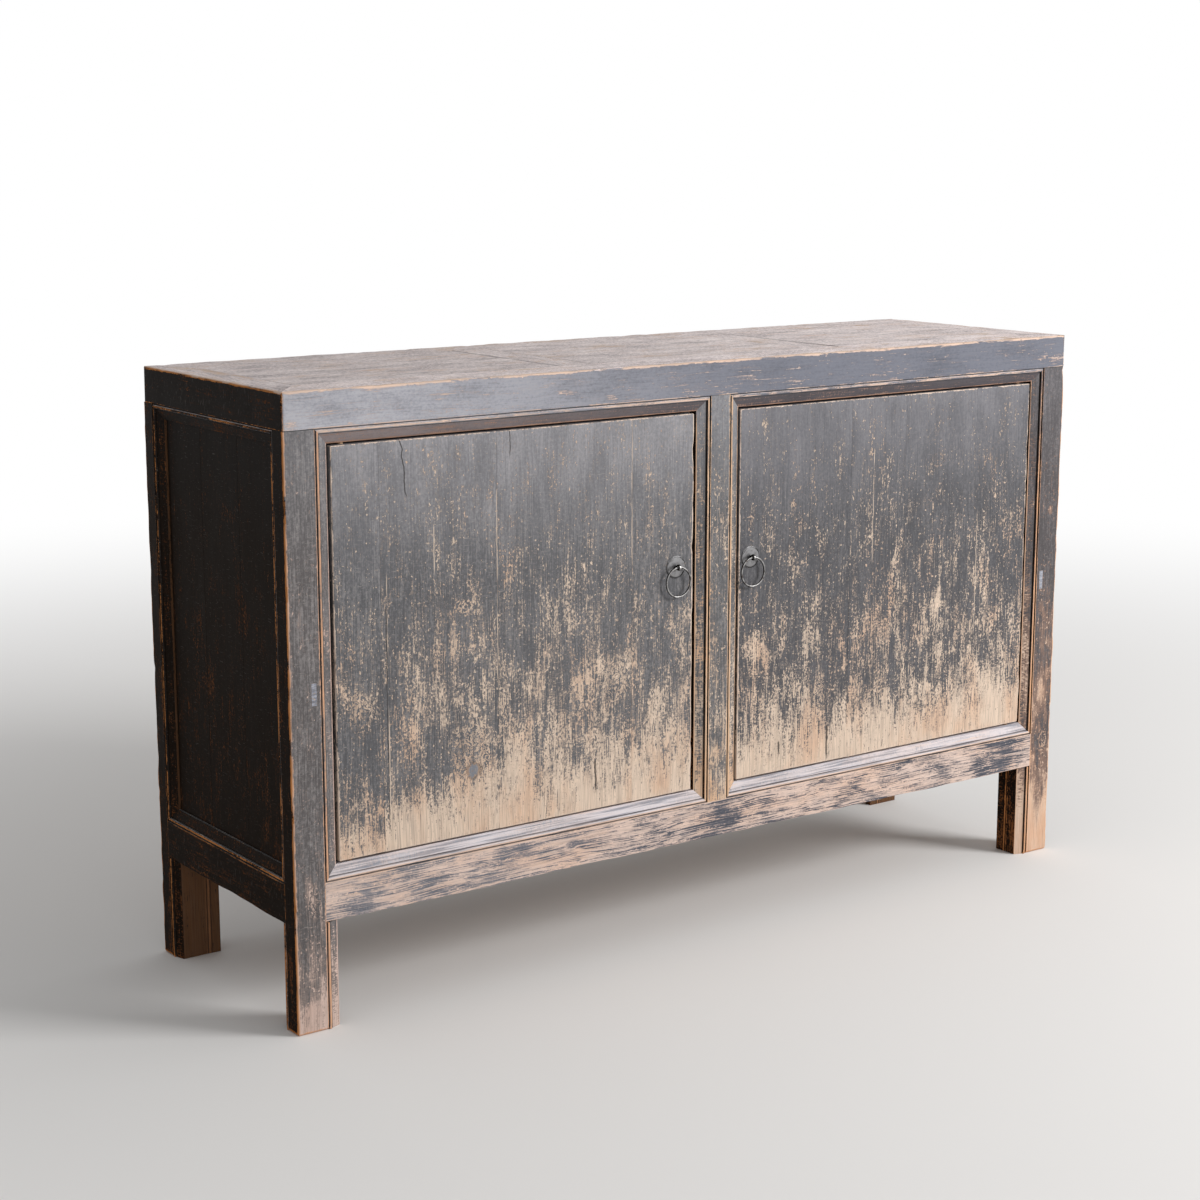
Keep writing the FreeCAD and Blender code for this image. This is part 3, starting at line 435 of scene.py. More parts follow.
@dataclass(frozen=True)
class WornLacquer:
    """Black lacquer rubbed through to the wood, more so towards the floor and along the arrises."""

    name: str
    grain: Axis
    tide: tuple[tuple[float, float], ...]
    lacquer: Colour = srgb(80, 79, 81)
    # The colour that the lacquer goes to higher up, and the heights where it starts and is full: partly
    # real bloom, partly painted sheen.
    bloom: Colour = srgb(122, 122, 128)
    bloom_and_sheen_low: float = 600.0
    bloom_and_sheen_high: float = 800.0
    thin: Colour = srgb(122, 112, 106)
    haze: Colour = srgb(188, 182, 180)
    wood: Colour = srgb(207, 187, 167)
    warm: Colour = srgb(205, 168, 140)
    arris: Colour = srgb(214, 186, 166)
    chalk: Colour = srgb(206, 200, 204)
    slate: Colour = srgb(132, 134, 144)
    chalk_low: float = 0.0
    chalk_high: float = 0.0
    dark_grain: Colour = srgb(112, 92, 78)
    shadow: Colour = srgb(30, 25, 23)
    scratch: Colour = srgb(168, 160, 154)
    knot_core: Colour = srgb(118, 122, 130)
    # Painted light and shade that changes from left to right: what the finish is multiplied by at either
    # side, and where the change starts and ends.
    left_tint: Colour = (1.0, 1.0, 1.0)
    right_tint: Colour = (1.0, 1.0, 1.0)
    tint_from: float = -420.0
    tint_to: float = 100.0
    flecks: float = 1.65
    dashes: float = 1.05
    marks: float = 0.9
    clusters: float = 0.2
    lines: float = 0.9
    bands: float = 0.9
    patches: float = 0.9
    specks: float = 0.5
    residue: float = 0.65
    streaks: float = 0.55
    soft: float = 0.11
    sway: float = 110.0
    arris_width: float = 5.6
    arris_wear: float = 0.85
    crest_wear: float = 0.5
    shoulder: float = 4.4
    groove: float = 3.0
    lip_wear: float = 0.9
    scratches: float = 0.55
    smudges: float = 0.4
    joint: float = 0.0
    # How strongly the mouldings' grooves are darkened as painted shade.
    groove_shade: float = 0.75
    # Painted shade on the band under a lip, which faces down: its heights and the colour that it is
    # multiplied by.
    painted_shade_low: float = 0.0
    painted_shade_high: float = 0.0
    painted_shade_tint: Colour = (0.54, 0.45, 0.41)
    cross: Optional[Axis] = None
    grain_depth: float = 0.45
    roughness: float = 0.42
    specular: float = 0.28
    blotches: tuple[Blotch, ...] = ()
    knots: tuple[Knot, ...] = ()
    cracks: tuple[Crack, ...] = ()

    def material(self) -> bpy.types.Material:
        """Builds the finish.

        Returns:
            The material.
        """
        graph = Graph(self.name)
        place = graph.place()
        shifted, bent = graph.on_board(place, self.grain, 45, 160, 12.0)
        x, _, z = graph.parts(place)
        figure = self.figure(graph, bent)
        faint = graph.grain_noise(bent, self.grain, 1.1, 85, 2.0, 0.6)
        mottle = graph.grain_noise(bent, self.grain, 38, 90, 3.0)
        score, rims, cores = self.score(graph, place, shifted, bent, z)
        score = score + (faint - 0.5) * self.lines
        edge, crest, band, lip, groove = self.edges(graph, shifted)
        score = score + edge * self.arris_wear + crest * self.crest_wear + lip * self.lip_wear
        ticks = graph.grain_noise(bent, self.grain, 7, 1.5, 2.0)
        score = score + band * ((ticks - 0.5) * 1.6 + 0.06)
        bare = score.rise(BARE_FROM, BARE_FROM + self.soft)
        lacquer = self.lacquer_colour(graph, shifted, bent, z, faint, mottle)
        colour = graph.mix(score.rise(0.26, 0.54) * 0.7, lacquer, self.thin)
        # Painted light and shade from left to right: the finish is multiplied lighter or darker across
        # the cabinet.
        painted_light = graph.mix(x.rise(self.tint_from, self.tint_to), self.left_tint, self.right_tint)
        colour = graph.mix(1.0, colour, painted_light, "MULTIPLY")
        wood = self.wood_colour(graph, bent, figure, lip, edge.most(crest))
        veil = score.rise(0.95, BARE_FROM) * (mottle.rise(0.6, 0.4) * 0.4)
        veil = veil + (faint - 0.46).most(0.0) * 2.2
        colour = graph.mix(bare, colour, graph.mix(veil.least(0.75), wood, self.thin))
        if self.chalk_high:
            colour = self.chalked(graph, colour, shifted, z, mottle)
        colour = graph.mix(cores * 0.8, colour, self.knot_core)
        colour = graph.mix(rims.least(1.0) * 0.6, colour, self.dark_grain)
        dark, pale = self.crack_masks(graph, x, z)
        # Painted shade in the mouldings' grooves, joined to the dark cracks.
        dark = dark.most(groove * self.groove_shade)
        if self.joint:
            dark = dark.most(abs(z - self.joint).rise(1.2, 0.3))
        colour = graph.mix(dark * 0.85, colour, self.shadow)
        colour = graph.mix(pale * mottle.rise(0.4, 0.52) * 0.8, colour, self.wood)
        # Painted shade on the band under the top rail's lip.
        if self.painted_shade_high:
            painted_shade = z.within(self.painted_shade_low, self.painted_shade_high, 0.7)
            colour = graph.mix(painted_shade, colour, graph.mix(1.0, colour, self.painted_shade_tint, "MULTIPLY"))
        roughness = self.roughness + bare * 0.32 + (mottle - 0.5) * 0.2
        height = 0.55 - bare * 0.35 + figure * self.grain_depth * 0.4 + faint * 0.12 - dark * 0.8
        return graph.finish(colour, roughness, height, 0.35 * MM,
                            Specular_IOR_Level=self.specular)

    def lacquer_colour(self, graph: Graph, shifted: Value, bent: Value, z: Value, faint: Value,
                       mottle: Value) -> Value:
        """The colour of the lacquer, with bloom and painted sheen higher up, streaked and scratched.

        Args:
            graph: the material's nodes.
            shifted: the point moved by its board's own amount.
            bent: that point with its drift.
            z: its height.
            faint: fine lines along the grain.
            mottle: slow clouds.

        Returns:
            The colour.
        """
        # Greyer higher up: partly the lacquer's bloom, partly painted sheen.
        sheen = (z.rise(self.bloom_and_sheen_low, self.bloom_and_sheen_high) * (0.5 + mottle)).least(1.0)
        colour = graph.mix(sheen, self.lacquer, self.bloom)
        brushed = graph.grain_noise(bent, self.grain, 2.8, 70, 3.0, 0.65)
        specked = graph.grain_noise(shifted, self.grain, 3.2, 4.5, 3.0, 0.7)
        tone = ((faint - 0.5) * 1.1 + (brushed - 0.5) * 0.9 + (mottle - 0.5) * 0.7
                + (specked - 0.5) * 1.5) * self.streaks
        colour = graph.mix((tone + 0.03).most(0.0), colour, self.haze)
        colour = graph.mix((tone * -1.0).most(0.0), colour, self.shadow)
        scratch = graph.grain_noise(bent, self.across(), 1.0, 16, 2.0, 0.6).rise(0.63, 0.74)
        return graph.mix(scratch * self.scratches, colour, self.scratch)

    def chalked(self, graph: Graph, colour: Value, shifted: Value, z: Value,
                mottle: Value) -> Value:
        """The colour with the chalky band that runs along a rail's upper edge.

        Args:
            graph: the material's nodes.
            colour: the colour without it.
            shifted: the point moved by its board's own amount.
            z: its height.
            mottle: slow clouds.

        Returns:
            The colour.
        """
        drawn = graph.grain_noise(shifted, self.grain, 3.4, 120, 3.0, 0.6)
        chalk = graph.mix(drawn.rise(0.46, 0.62), self.chalk, self.slate)
        chalk = graph.mix(drawn.rise(0.42, 0.3) * 0.7, chalk, self.wood)
        worn = z.within(self.chalk_low, self.chalk_high, 2)
        return graph.mix(worn * (0.55 + 0.9 * (mottle - 0.3)), colour, chalk)

    def across(self) -> Axis:
        """The direction of old marks, across the grain."""
        return self.cross or (Axis.Z if self.grain is Axis.X else Axis.X)

    def figure(self, graph: Graph, bent: Value) -> Value:
        """The wood's grain lines, near 1 on a dark late-wood line."""
        fine = graph.grain_noise(bent, self.grain, 1.8, 90, 3.0, 0.6)
        broad = graph.grain_noise(bent, self.grain, 9.0, 300, 2.0, warp=0.4)
        return fine.rise(0.48, 0.7) * 0.6 + broad.rise(0.5, 0.7) * 0.25

    def wood_colour(self, graph: Graph, bent: Value, figure: Value, lip: Value,
                    edge: Value) -> Value:
        """The colour of the bared wood.

        Args:
            graph: the material's nodes.
            bent: the point with its drift.
            figure: the grain lines.
            lip: how much this is the raw inner edge of an opening.
            edge: how much this is a rubbed arris.

        Returns:
            The colour.
        """
        broad = graph.grain_noise(bent, self.grain, 60, 150, 4.0, 0.6)
        tone = (broad.rise(0.42, 0.7) * 0.8).most(lip * 0.8)
        colour = graph.mix(tone, self.wood, self.warm)
        colour = graph.mix(figure * self.grain_depth, colour, self.dark_grain)
        return graph.mix(edge * 0.75, colour, self.arris)

    def score(self, graph: Graph, place: Value, shifted: Value, bent: Value,
              z: Value) -> tuple[Value, Value, Value]:
        """How far the lacquer is rubbed away; the wood shows from 0.5 on.

        Args:
            graph: the material's nodes.
            place: the point on the cabinet.
            shifted: the point moved by its board's own amount.
            bent: that point with its drift.
            z: its height.

        Returns:
            The score, the dark rims of the knots and their cores.
        """
        flecks = graph.grain_noise(bent, self.grain, 2.7, 3.8, 4.0, 0.68)
        clusters = graph.grain_noise(shifted, self.grain, 16, 38, 2.0).rise(0.36, 0.64)
        dashes = graph.grain_noise(bent, self.grain, 1.6, 24, 2.0, 0.6)
        marks = graph.grain_noise(shifted, self.across(), 1.4, 8, 2.0, 0.6)
        bands = graph.grain_noise(bent, self.grain, 9, 170, 3.0, 0.6)
        patches = graph.grain_noise(shifted, self.grain, 55, 85, 3.0, 0.6)
        smudges = graph.grain_noise(shifted, self.grain, 13, 20, 3.0, 0.6).rise(0.6, 0.78)
        sway = graph.grain_noise(place, self.grain, 150, 900, 2.0)
        score = graph.ramp(z + (sway - 0.5) * self.sway, 0, 850, self.tide)
        score = score + (bands - 0.5) * self.bands + (patches - 0.5) * self.patches
        crowd = 0.45 + 1.1 * clusters
        texture = (flecks - 0.5) * crowd * self.flecks + (dashes - 0.5) * self.dashes
        texture = texture + (marks - 0.5) * (1 - clusters) * self.marks
        texture = texture + (clusters - 0.5) * self.clusters
        score = score + smudges * self.smudges
        specks = graph.grain_noise(place, self.grain, 3.4, 4.6, 1.0)
        score = score + specks.rise(0.64, 0.72) * self.specks
        residue = graph.grain_noise(bent, self.grain, 1.6, 22, 2.0, 0.6)
        score = score - residue.rise(0.62, 0.72) * self.residue
        for spot in self.blotches:
            score = score + self.reach(graph, place, spot).rise(1.0, 0.25) * spot.strength
        curl = graph.grain_noise(place, self.grain, 9, 11, 2.0, 0.6, 1.6)
        rims, cores = graph.nothing(), graph.nothing()
        for knot in self.knots:
            reach = self.reach(graph, place, knot)
            bent_reach = reach + (curl - 0.5) * 1.1
            wave = (bent_reach * (knot.rings * math.tau)).maths("SINE") * 0.5 + 0.5
            near = reach.rise(1.0, 0.5)
            figured = (curl - 0.5) * 2.4 + (wave - 0.5) * 1.3
            texture = texture * (1 - near * 0.75) + near * figured * knot.strength
            rims = rims + near * wave.rise(0.8, 0.97) * 0.4
            if knot.core:
                core = bent_reach.rise(knot.core, knot.core - 0.12)
                rims = rims + bent_reach.rise(knot.core + 0.24, knot.core + 0.12) - core
                cores = cores.most(core)
        return score + texture, rims, cores

    @staticmethod
    def reach(graph: Graph, place: Value, spot: Any) -> Value:
        """Distance from a spot's middle, 1 at its rim."""
        away = graph.vector("SUBTRACT", place, (spot.x, 0.0, spot.z))
        shares = graph.vector("MULTIPLY", away, (1 / spot.half_width, 0.0, 1 / spot.half_height))
        return graph.length(shares)

    def edges(self, graph: Graph,
              shifted: Value) -> tuple[Value, Value, Value, Value, Value]:
        """How near the point is to a rubbed arris and a moulding's crests, band, lip and grooves; the
        grooves get painted shade.
        """
        ragged = (graph.grain_noise(shifted, self.grain, 5, 14, 3.0, 0.65) - 0.5) * 7
        low = graph.parts(graph.attribute("low"))
        high = graph.parts(graph.attribute("high"))
        near = [one.least(other) * PER_METRE for one, other in zip(low, high)]
        close = least_of([one + other for one, other in combinations(near, 2)])
        edge = (close + ragged * 0.6).rise(self.arris_width, self.arris_width * 0.4)
        broken = graph.grain_noise(shifted, self.grain, 30, 45, 2.0)
        edge = edge * (0.5 + 0.5 * broken.rise(0.36, 0.5))
        past = [part * PER_METRE for part in graph.parts(graph.attribute("crest"))]
        beads = least_of([abs(part) for part in past])
        shoulder = least_of([abs(part - self.shoulder) for part in past])
        crest = (beads.least(shoulder + 0.9) + abs(ragged) * 0.35).rise(2.0, 1.0)
        # The grooves beside each bead, darkened later as painted shade.
        groove = least_of([abs(abs(part) - self.groove) for part in past]).rise(0.9, 0.5)
        band = reduce(Value.most, [part.within(-16, -4, 1) for part in past])
        lips = least_of([abs(part) * PER_METRE for part in graph.parts(graph.attribute("lip"))])
        lip = (lips + abs(ragged) * 0.2).rise(2.2, 0.9)
        return edge, crest, band, lip, groove

    def crack_masks(self, graph: Graph, x: Value, z: Value) -> tuple[Value, Value]:
        """The dark cracks and the pale scores."""
        masks = {False: graph.nothing(), True: graph.nothing()}
        for crack in self.cracks:
            along = graph.node("ShaderNodeCombineXYZ", None, [crack.x, 0.0, z / 22])
            wave = graph.node("ShaderNodeTexNoise", None,
                              {"Vector": along, "Scale": 1.0, "Detail": 2.0})
            middle = crack.x + (crack.top - z) * crack.lean + (wave - 0.5) * crack.wander
            line = abs(x - middle).rise(crack.width, crack.width * 0.4)
            ends = z.rise(crack.bottom, crack.bottom + 15) * z.rise(crack.top, crack.top - 4)
            masks[crack.pale] = masks[crack.pale].most(line * ends)
        return masks[False], masks[True]


@dataclass(frozen=True)
class BareWood:
    """Old bare wood of the inside and the back, browned and dusty."""

    name: str
    grain: Axis
    pale: Colour = srgb(168, 136, 104)
    brown: Colour = srgb(120, 86, 60)
    grain_line: Colour = srgb(88, 60, 42)
    dust: Colour = srgb(150, 138, 122)

    def material(self) -> bpy.types.Material:
        """Builds the finish.

        Returns:
            The material.
        """
        graph = Graph(self.name)
        shifted, bent = graph.on_board(graph.place(), self.grain, 50, 180, 16.0)
        broad = graph.grain_noise(bent, self.grain, 9, 260, 2.0, warp=0.5)
        fine = graph.grain_noise(bent, self.grain, 1.3, 60, 2.0)
        cloud = graph.grain_noise(shifted, self.grain, 70, 160, 3.0, 0.6)
        colour = graph.mix(cloud.rise(0.35, 0.7), self.pale, self.brown)
        colour = graph.mix(broad.rise(0.5, 0.62) * 0.45, colour, self.grain_line)
        colour = graph.mix(fine.rise(0.52, 0.7) * 0.35, colour, self.grain_line)
        dusty = graph.grain_noise(shifted, self.grain, 26, 40, 4.0, 0.7).rise(0.5, 0.75)
        colour = graph.mix(dusty * 0.35, colour, self.dust)
        height = 0.5 + (fine - 0.5) * 0.5 + (broad - 0.5) * 0.4
        return graph.finish(colour, 0.72 + (cloud - 0.5) * 0.2, height, 0.3 * MM,
                            Specular_IOR_Level=0.35)


@dataclass(frozen=True)
class ForgedIron:
    """Hand-forged iron, blackened, brighter where it faces the front: partly rubbed where touched, partly
    a painted highlight, with painted shade on the sides.
    """

    name: str
    dark: Colour = srgb(70, 67, 66)
    bright: Colour = srgb(150, 147, 145)
    rust: Colour = srgb(96, 66, 50)
    shine: float = 0.5
    sheen: float = 0.36
    rub_and_highlight_from: float = -0.5
    rub_and_highlight_full: float = 0.2

    def material(self) -> bpy.types.Material:
        """Builds the finish.

        Returns:
            The material.
        """
        graph = Graph(self.name)
        place = graph.place()
        cloud = graph.grain_noise(place, Axis.Z, 7, 7, 4.0, 0.6)
        pits = graph.grain_noise(place, Axis.Z, 0.9, 0.9, 2.0, 0.6)
        # Brighter where it faces the front: partly rubbed wear, partly a painted highlight, with painted
        # shade on the sides that turn away.
        facing = graph.attribute("facing", "Fac").rise(self.rub_and_highlight_from, self.rub_and_highlight_full)
        colour = graph.mix((cloud.rise(0.25, 0.6) * facing) * self.shine, self.dark, self.bright)
        colour = graph.mix(pits.rise(0.56, 0.72) * 0.5, colour, self.dark)
        colour = graph.mix(cloud.rise(0.45, 0.3) * 0.35, colour, self.rust)
        roughness = self.sheen + (pits - 0.5) * 0.3 + cloud.rise(0.5, 0.3) * 0.15
        return graph.finish(colour, roughness, pits * 0.6 + cloud * 0.4, 0.12 * MM, Metallic=0.9,
                            Specular_Tint=srgb(90, 90, 90))


# Modelling

# A box's six planes are numbered: 0 to 2 the low ones across x, y and z, 3 to 5 the high ones
HIGH_Z = 5
SQUARE_ON = 0.72
TOUCH = 0.05 * MM
WELD = 0.005 * MM
FLAT = math.radians(0.5)
SHARP = math.radians(50)
SMOOTH = math.radians(40)
SEED_STEPS = 97


@contextmanager
def editing(select: Optional[str] = None) -> Iterator[None]:
    """Edit mode for as long as a block lasts, all selected or deselected first where asked."""
    bpy.ops.object.mode_set(mode="EDIT")
    if select:
        bpy.ops.mesh.select_all(action=select)
    yield
    bpy.ops.object.mode_set(mode="OBJECT")


@dataclass(frozen=True)
class Plane:
    """A plane square to an axis, or the two like planes either side of the cabinet's middle."""

    axis: Axis
    place: float
    mirrored: bool = False
    flipped: bool = False


@dataclass
class Joinery:
    """What every sub-assembly is made with: worn copies of the joiner's pieces."""

    arris: float = 2.2 * MM
    edge: float = 0.45 * MM
    step: float = 10 * MM
    nick: float = 0.9 * MM
    waver: float = 0.4 * MM
    wavelength: float = 160 * MM
    nick_size: float = 34 * MM
    chip_size: float = 13 * MM
    chip: float = 2.6

    def __post_init__(self) -> None:
        """Takes the box whose arrises the pieces share."""
        self.low, self.high = self.whole_box(*self.outline())

    def outline(self) -> tuple[str, ...]:
        """The nodes whose common box has the arrises that wear."""
        return ("post_front_left", "post_back_right", "top_front_rail", "top_back_rail")

    @staticmethod
    def whole_box(*nodes: str) -> tuple[Vector, Vector]:
        """The box round several CAD nodes."""
        boxes = [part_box(node) for node in nodes]
        low = Vector([min(box[0][axis] for box in boxes) for axis in range(3)])
        high = Vector([max(box[1][axis] for box in boxes) for axis in range(3)])
        return low, high

    @staticmethod
    def copy_node(node: str) -> bpy.types.Object:
        """A clean copy of a CAD node: doubles merged and flat faces whole, alone selected."""
        source = frame["nodes"][node]
        piece = bpy.data.objects.new(node + "_worn", source.data.copy())
        bpy.context.scene.collection.objects.link(piece)
        bpy.ops.object.select_all(action="DESELECT")
        bpy.context.view_layer.objects.active = piece
        piece.select_set(True)
        with editing("SELECT"):
            bpy.ops.mesh.remove_doubles(threshold=WELD)
            bpy.ops.mesh.dissolve_limited(angle_limit=FLAT)
        return piece

    def planes_met(self, point: Vector) -> set[int]:
        """Which of the six planes of the shared box a point lies on."""
        met = {axis for axis in range(3) if abs(point[axis] - self.low[axis]) < TOUCH}
        return met | {axis + 3 for axis in range(3) if abs(point[axis] - self.high[axis]) < TOUCH}

    def round_arrises(self, piece: bpy.types.Object,
                      wanted: Callable[[set[int]], bool]) -> None:
        """Rounds the edges that lie on two planes of the shared box.

        Args:
            piece: the piece, alone selected.
            wanted: says, from the planes that an edge lies on, whether it is rounded.
        """
        met = [self.planes_met(vertex.co) for vertex in piece.data.vertices]

        def chosen(first: int, last: int) -> bool:
            """Whether the edge between two vertices is rounded."""
            both = met[first] & met[last]
            return len(both) > 1 and wanted(both)

        self.bevel(piece, self.arris, 4, chosen)

    @staticmethod
    def bevel(piece: bpy.types.Object, width: float, segments: int,
              chosen: Callable[[int, int], bool]) -> None:
        """Bevels some of a piece's edges.

        Args:
            piece: the piece, alone selected.
            width: how wide the bevel is.
            segments: how many faces it has across.
            chosen: says, from the numbers of an edge's two vertices, whether it is bevelled.
        """
        with editing("DESELECT"):
            bpy.ops.mesh.select_mode(type="EDGE")
        found = 0
        for edge in piece.data.edges:
            edge.select = chosen(*edge.vertices)
            found += edge.select
        if found:
            with editing():
                bpy.ops.mesh.bevel(offset=width, offset_type="OFFSET", segments=segments,
                                   affect="EDGES")

    def soften(self, piece: bpy.types.Object) -> None:
        """Takes the sharpness off every edge that is left."""
        bevel = piece.modifiers.new("soften", "BEVEL")
        bevel.width = self.edge
        bevel.segments = 2
        bevel.limit_method = "ANGLE"
        bevel.angle_limit = SHARP
        bpy.ops.object.modifier_apply(modifier=bevel.name)

    @staticmethod
    def cut(place: Vector, normal: Vector, away: bool = False) -> None:
        """Cuts through the selected piece's faces with a plane.

        Args:
            place: a point on the plane.
            normal: the plane's normal.
            away: whether what lies past the plane is taken off and the cut closed.
        """
        with editing("SELECT"):
            bpy.ops.mesh.bisect(plane_co=place, plane_no=normal, clear_outer=away, use_fill=away)

    def section(self, piece: bpy.types.Object, axis: Axis) -> None:
        """Cuts the faces across the grain at even steps, so that they can be shaped."""
        places = [vertex.co[axis.value] for vertex in piece.data.vertices]
        start, length = min(places), max(places) - min(places)
        count = max(2, round(length / self.step))
        across = Vector([1.0 if other is axis else 0.0 for other in Axis])
        with editing():
            for cut in range(1, count):
                bpy.ops.mesh.select_all(action="SELECT")
                bpy.ops.mesh.bisect(plane_co=across * (start + length * cut / count),
                                    plane_no=across)

    @staticmethod
    def noise_at(places: np.ndarray, size: float, shift: Sequence[float]) -> np.ndarray:
        """Smooth noise, about -0.6 to 0.6, at each point.

        Args:
            places: the points as rows.
            size: the noise's size, in metres.
            shift: where in the noise the points are read.

        Returns:
            One number for each point.
        """
        return np.array([noise.noise(Vector(place)) for place in places / size + np.array(shift)])

    def rub(self, piece: bpy.types.Object, seed: float, grounded: bool) -> None:
        """Wears the outer faces uneven and the arrises rounder, always inwards.

        Args:
            piece: the piece.
            seed: its own number, which moves the pattern.
            grounded: whether its lowest face rests on the floor and stays flat.
        """
        places = self.places(piece)
        to_low, to_high = places - np.array(self.low), np.array(self.high) - places
        near = np.minimum(to_low, to_high)
        inward = np.where(to_low < to_high, 1.0, -1.0)
        close = np.clip(1 - near / (self.arris * 1.8), 0, 1)
        nick = self.noise_at(places, self.nick_size, (seed * 90, 0, 7))
        chip = self.noise_at(places, self.chip_size, (3, seed * 70, 1))
        wave = self.noise_at(places, self.wavelength, (seed * 50, 5, 9))
        nicked = np.clip(0.6 + 0.9 * nick, 0, None) + self.chip * np.clip(chip - 0.25, 0, None)
        both = np.stack([close[:, axis] * np.delete(close, axis, 1).max(axis=1)
                         for axis in range(3)], axis=1)
        flat = self.waver * np.clip(wave + 0.6, 0, None)
        move = both * (self.nick * nicked)[:, None] + np.where(near < TOUCH, flat[:, None], 0.0)
        if grounded:
            move[to_low[:, 2] < TOUCH, 2] = 0.0
        self.move(piece, places + inward * move)

    @staticmethod
    def places(piece: bpy.types.Object) -> np.ndarray:
        """The piece's vertices as rows."""
        flat = np.empty(len(piece.data.vertices) * 3)
        piece.data.vertices.foreach_get("co", flat)
        return flat.reshape(-1, 3)

    @staticmethod
    def move(piece: bpy.types.Object, places: np.ndarray) -> None:
        """Puts the piece's vertices at new places."""
        piece.data.vertices.foreach_set("co", places.ravel())
        piece.data.update()

    def mark(self, piece: bpy.types.Object, seed: float, crests: Sequence[Plane],
             lips: Sequence[Plane]) -> None:
        """Writes what the finish reads: distances to arrises, crests and raw edges.

        Args:
            piece: the piece.
            seed: its own number, 0 to 1.
            crests: planes through the crests of its beads.
            lips: planes of its raw inner edges.
        """
        places = self.places(piece)
        rows = {"low": places - np.array(self.low), "high": np.array(self.high) - places,
                "crest": self.distances(places, crests), "lip": self.distances(places, lips)}
        for name, values in rows.items():
            made = piece.data.attributes.new(name, "FLOAT_VECTOR", "POINT")
            made.data.foreach_set("vector", values.astype(np.float32).ravel())
        made = piece.data.attributes.new("board", "FLOAT", "POINT")
        made.data.foreach_set("value", np.full(len(places), seed, np.float32))

    @staticmethod
    def distances(places: np.ndarray, planes: Sequence[Plane]) -> np.ndarray:
        """Distance of each point past one plane on each axis, far where there is none."""
        rows = np.ones_like(places)
        for plane in planes:
            along = places[:, plane.axis.value]
            past = (np.abs(along) if plane.mirrored else along) - plane.place
            rows[:, plane.axis.value] = -past if plane.flipped else past
        return rows

    @staticmethod
    def shade(piece: bpy.types.Object) -> None:
        """Shades the roundings smooth and keeps the flats flat."""
        bpy.ops.object.shade_smooth_by_angle(angle=SMOOTH)
        even = piece.modifiers.new("even", "WEIGHTED_NORMAL")
        even.keep_sharp = True
        bpy.ops.object.modifier_apply(modifier=even.name)

    @staticmethod
    def hand_over(piece: bpy.types.Object, node: str, finish: str,
                  others: Optional[dict[Side, str]] = None) -> bpy.types.Object:
        """Gives a piece its finish and its place on the CAD body.

        Args:
            piece: the piece, at its place.
            node: the CAD node that it stands for.
            finish: its finish, by name.
            others: the finishes of faces that look some way, where they are others.

        Returns:
            The piece.
        """
        piece.data.materials.clear()
        piece.data.materials.append(material_of(finish))
        for slot, ((axis, way), other) in enumerate((others or {}).items(), 1):
            piece.data.materials.append(material_of(other))
            for face in piece.data.polygons:
                along = face.normal[axis.value]
                if (along * way if way else abs(along)) > SQUARE_ON:
                    face.material_index = slot
        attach(piece, frame["nodes"][node]["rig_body"])
        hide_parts(node)
        LOG.info("made %s with %d faces", piece.name, len(piece.data.polygons))
        return piece

    def dress(self, node: str, grain: Axis, finish: str, crests: Sequence[Plane] = (),
              lips: Sequence[Plane] = (), grounded: bool = False,
              wanted: Callable[[set[int]], bool] = lambda planes: False,
              shape: Optional[Callable[[bpy.types.Object], None]] = None,
              late: Optional[Callable[[bpy.types.Object], None]] = None,
              others: Optional[dict[Side, str]] = None) -> bpy.types.Object:
        """Makes the worn piece that stands for a CAD node.

        Args:
            node: the CAD node.
            grain: the direction of its grain.
            finish: its finish, by name.
            crests: planes through the crests of its beads.
            lips: planes of its raw inner edges.
            grounded: whether it stands on the floor.
            wanted: which arrises are rounded; none where it isn't given.
            shape: what else is cut on the piece before it is softened.
            late: what else is moved once it is cut into sections.
            others: the finishes of faces that look some way, where they are others.

        Returns:
            The piece.
        """
        letters = enumerate(node, 3)
        seed = (sum(ord(letter) * place for place, letter in letters) % SEED_STEPS) / SEED_STEPS
        piece = self.copy_node(node)
        self.round_arrises(piece, wanted)
        if shape:
            shape(piece)
        self.soften(piece)
        self.section(piece, grain)
        self.mark(piece, seed, crests, lips)
        self.rub(piece, seed, grounded)
        if late:
            late(piece)
        self.shade(piece)
        return self.hand_over(piece, node, finish, others)


POST_ENDS: dict[Side, str] = {(Axis.X, 0): "post_end"}
RAIL_ENDS: dict[Side, str] = {(Axis.X, 0): "rail_end"}
# The rails' sides, with their grain, their finish and that of the top's upper face
RAILS = (("front", Axis.X, "rail", "top_front"), ("back", Axis.X, "back_rail", "top"),
         ("left", Axis.Y, "end_rail", "top_bar"), ("right", Axis.Y, "end_rail", "top_bar"))


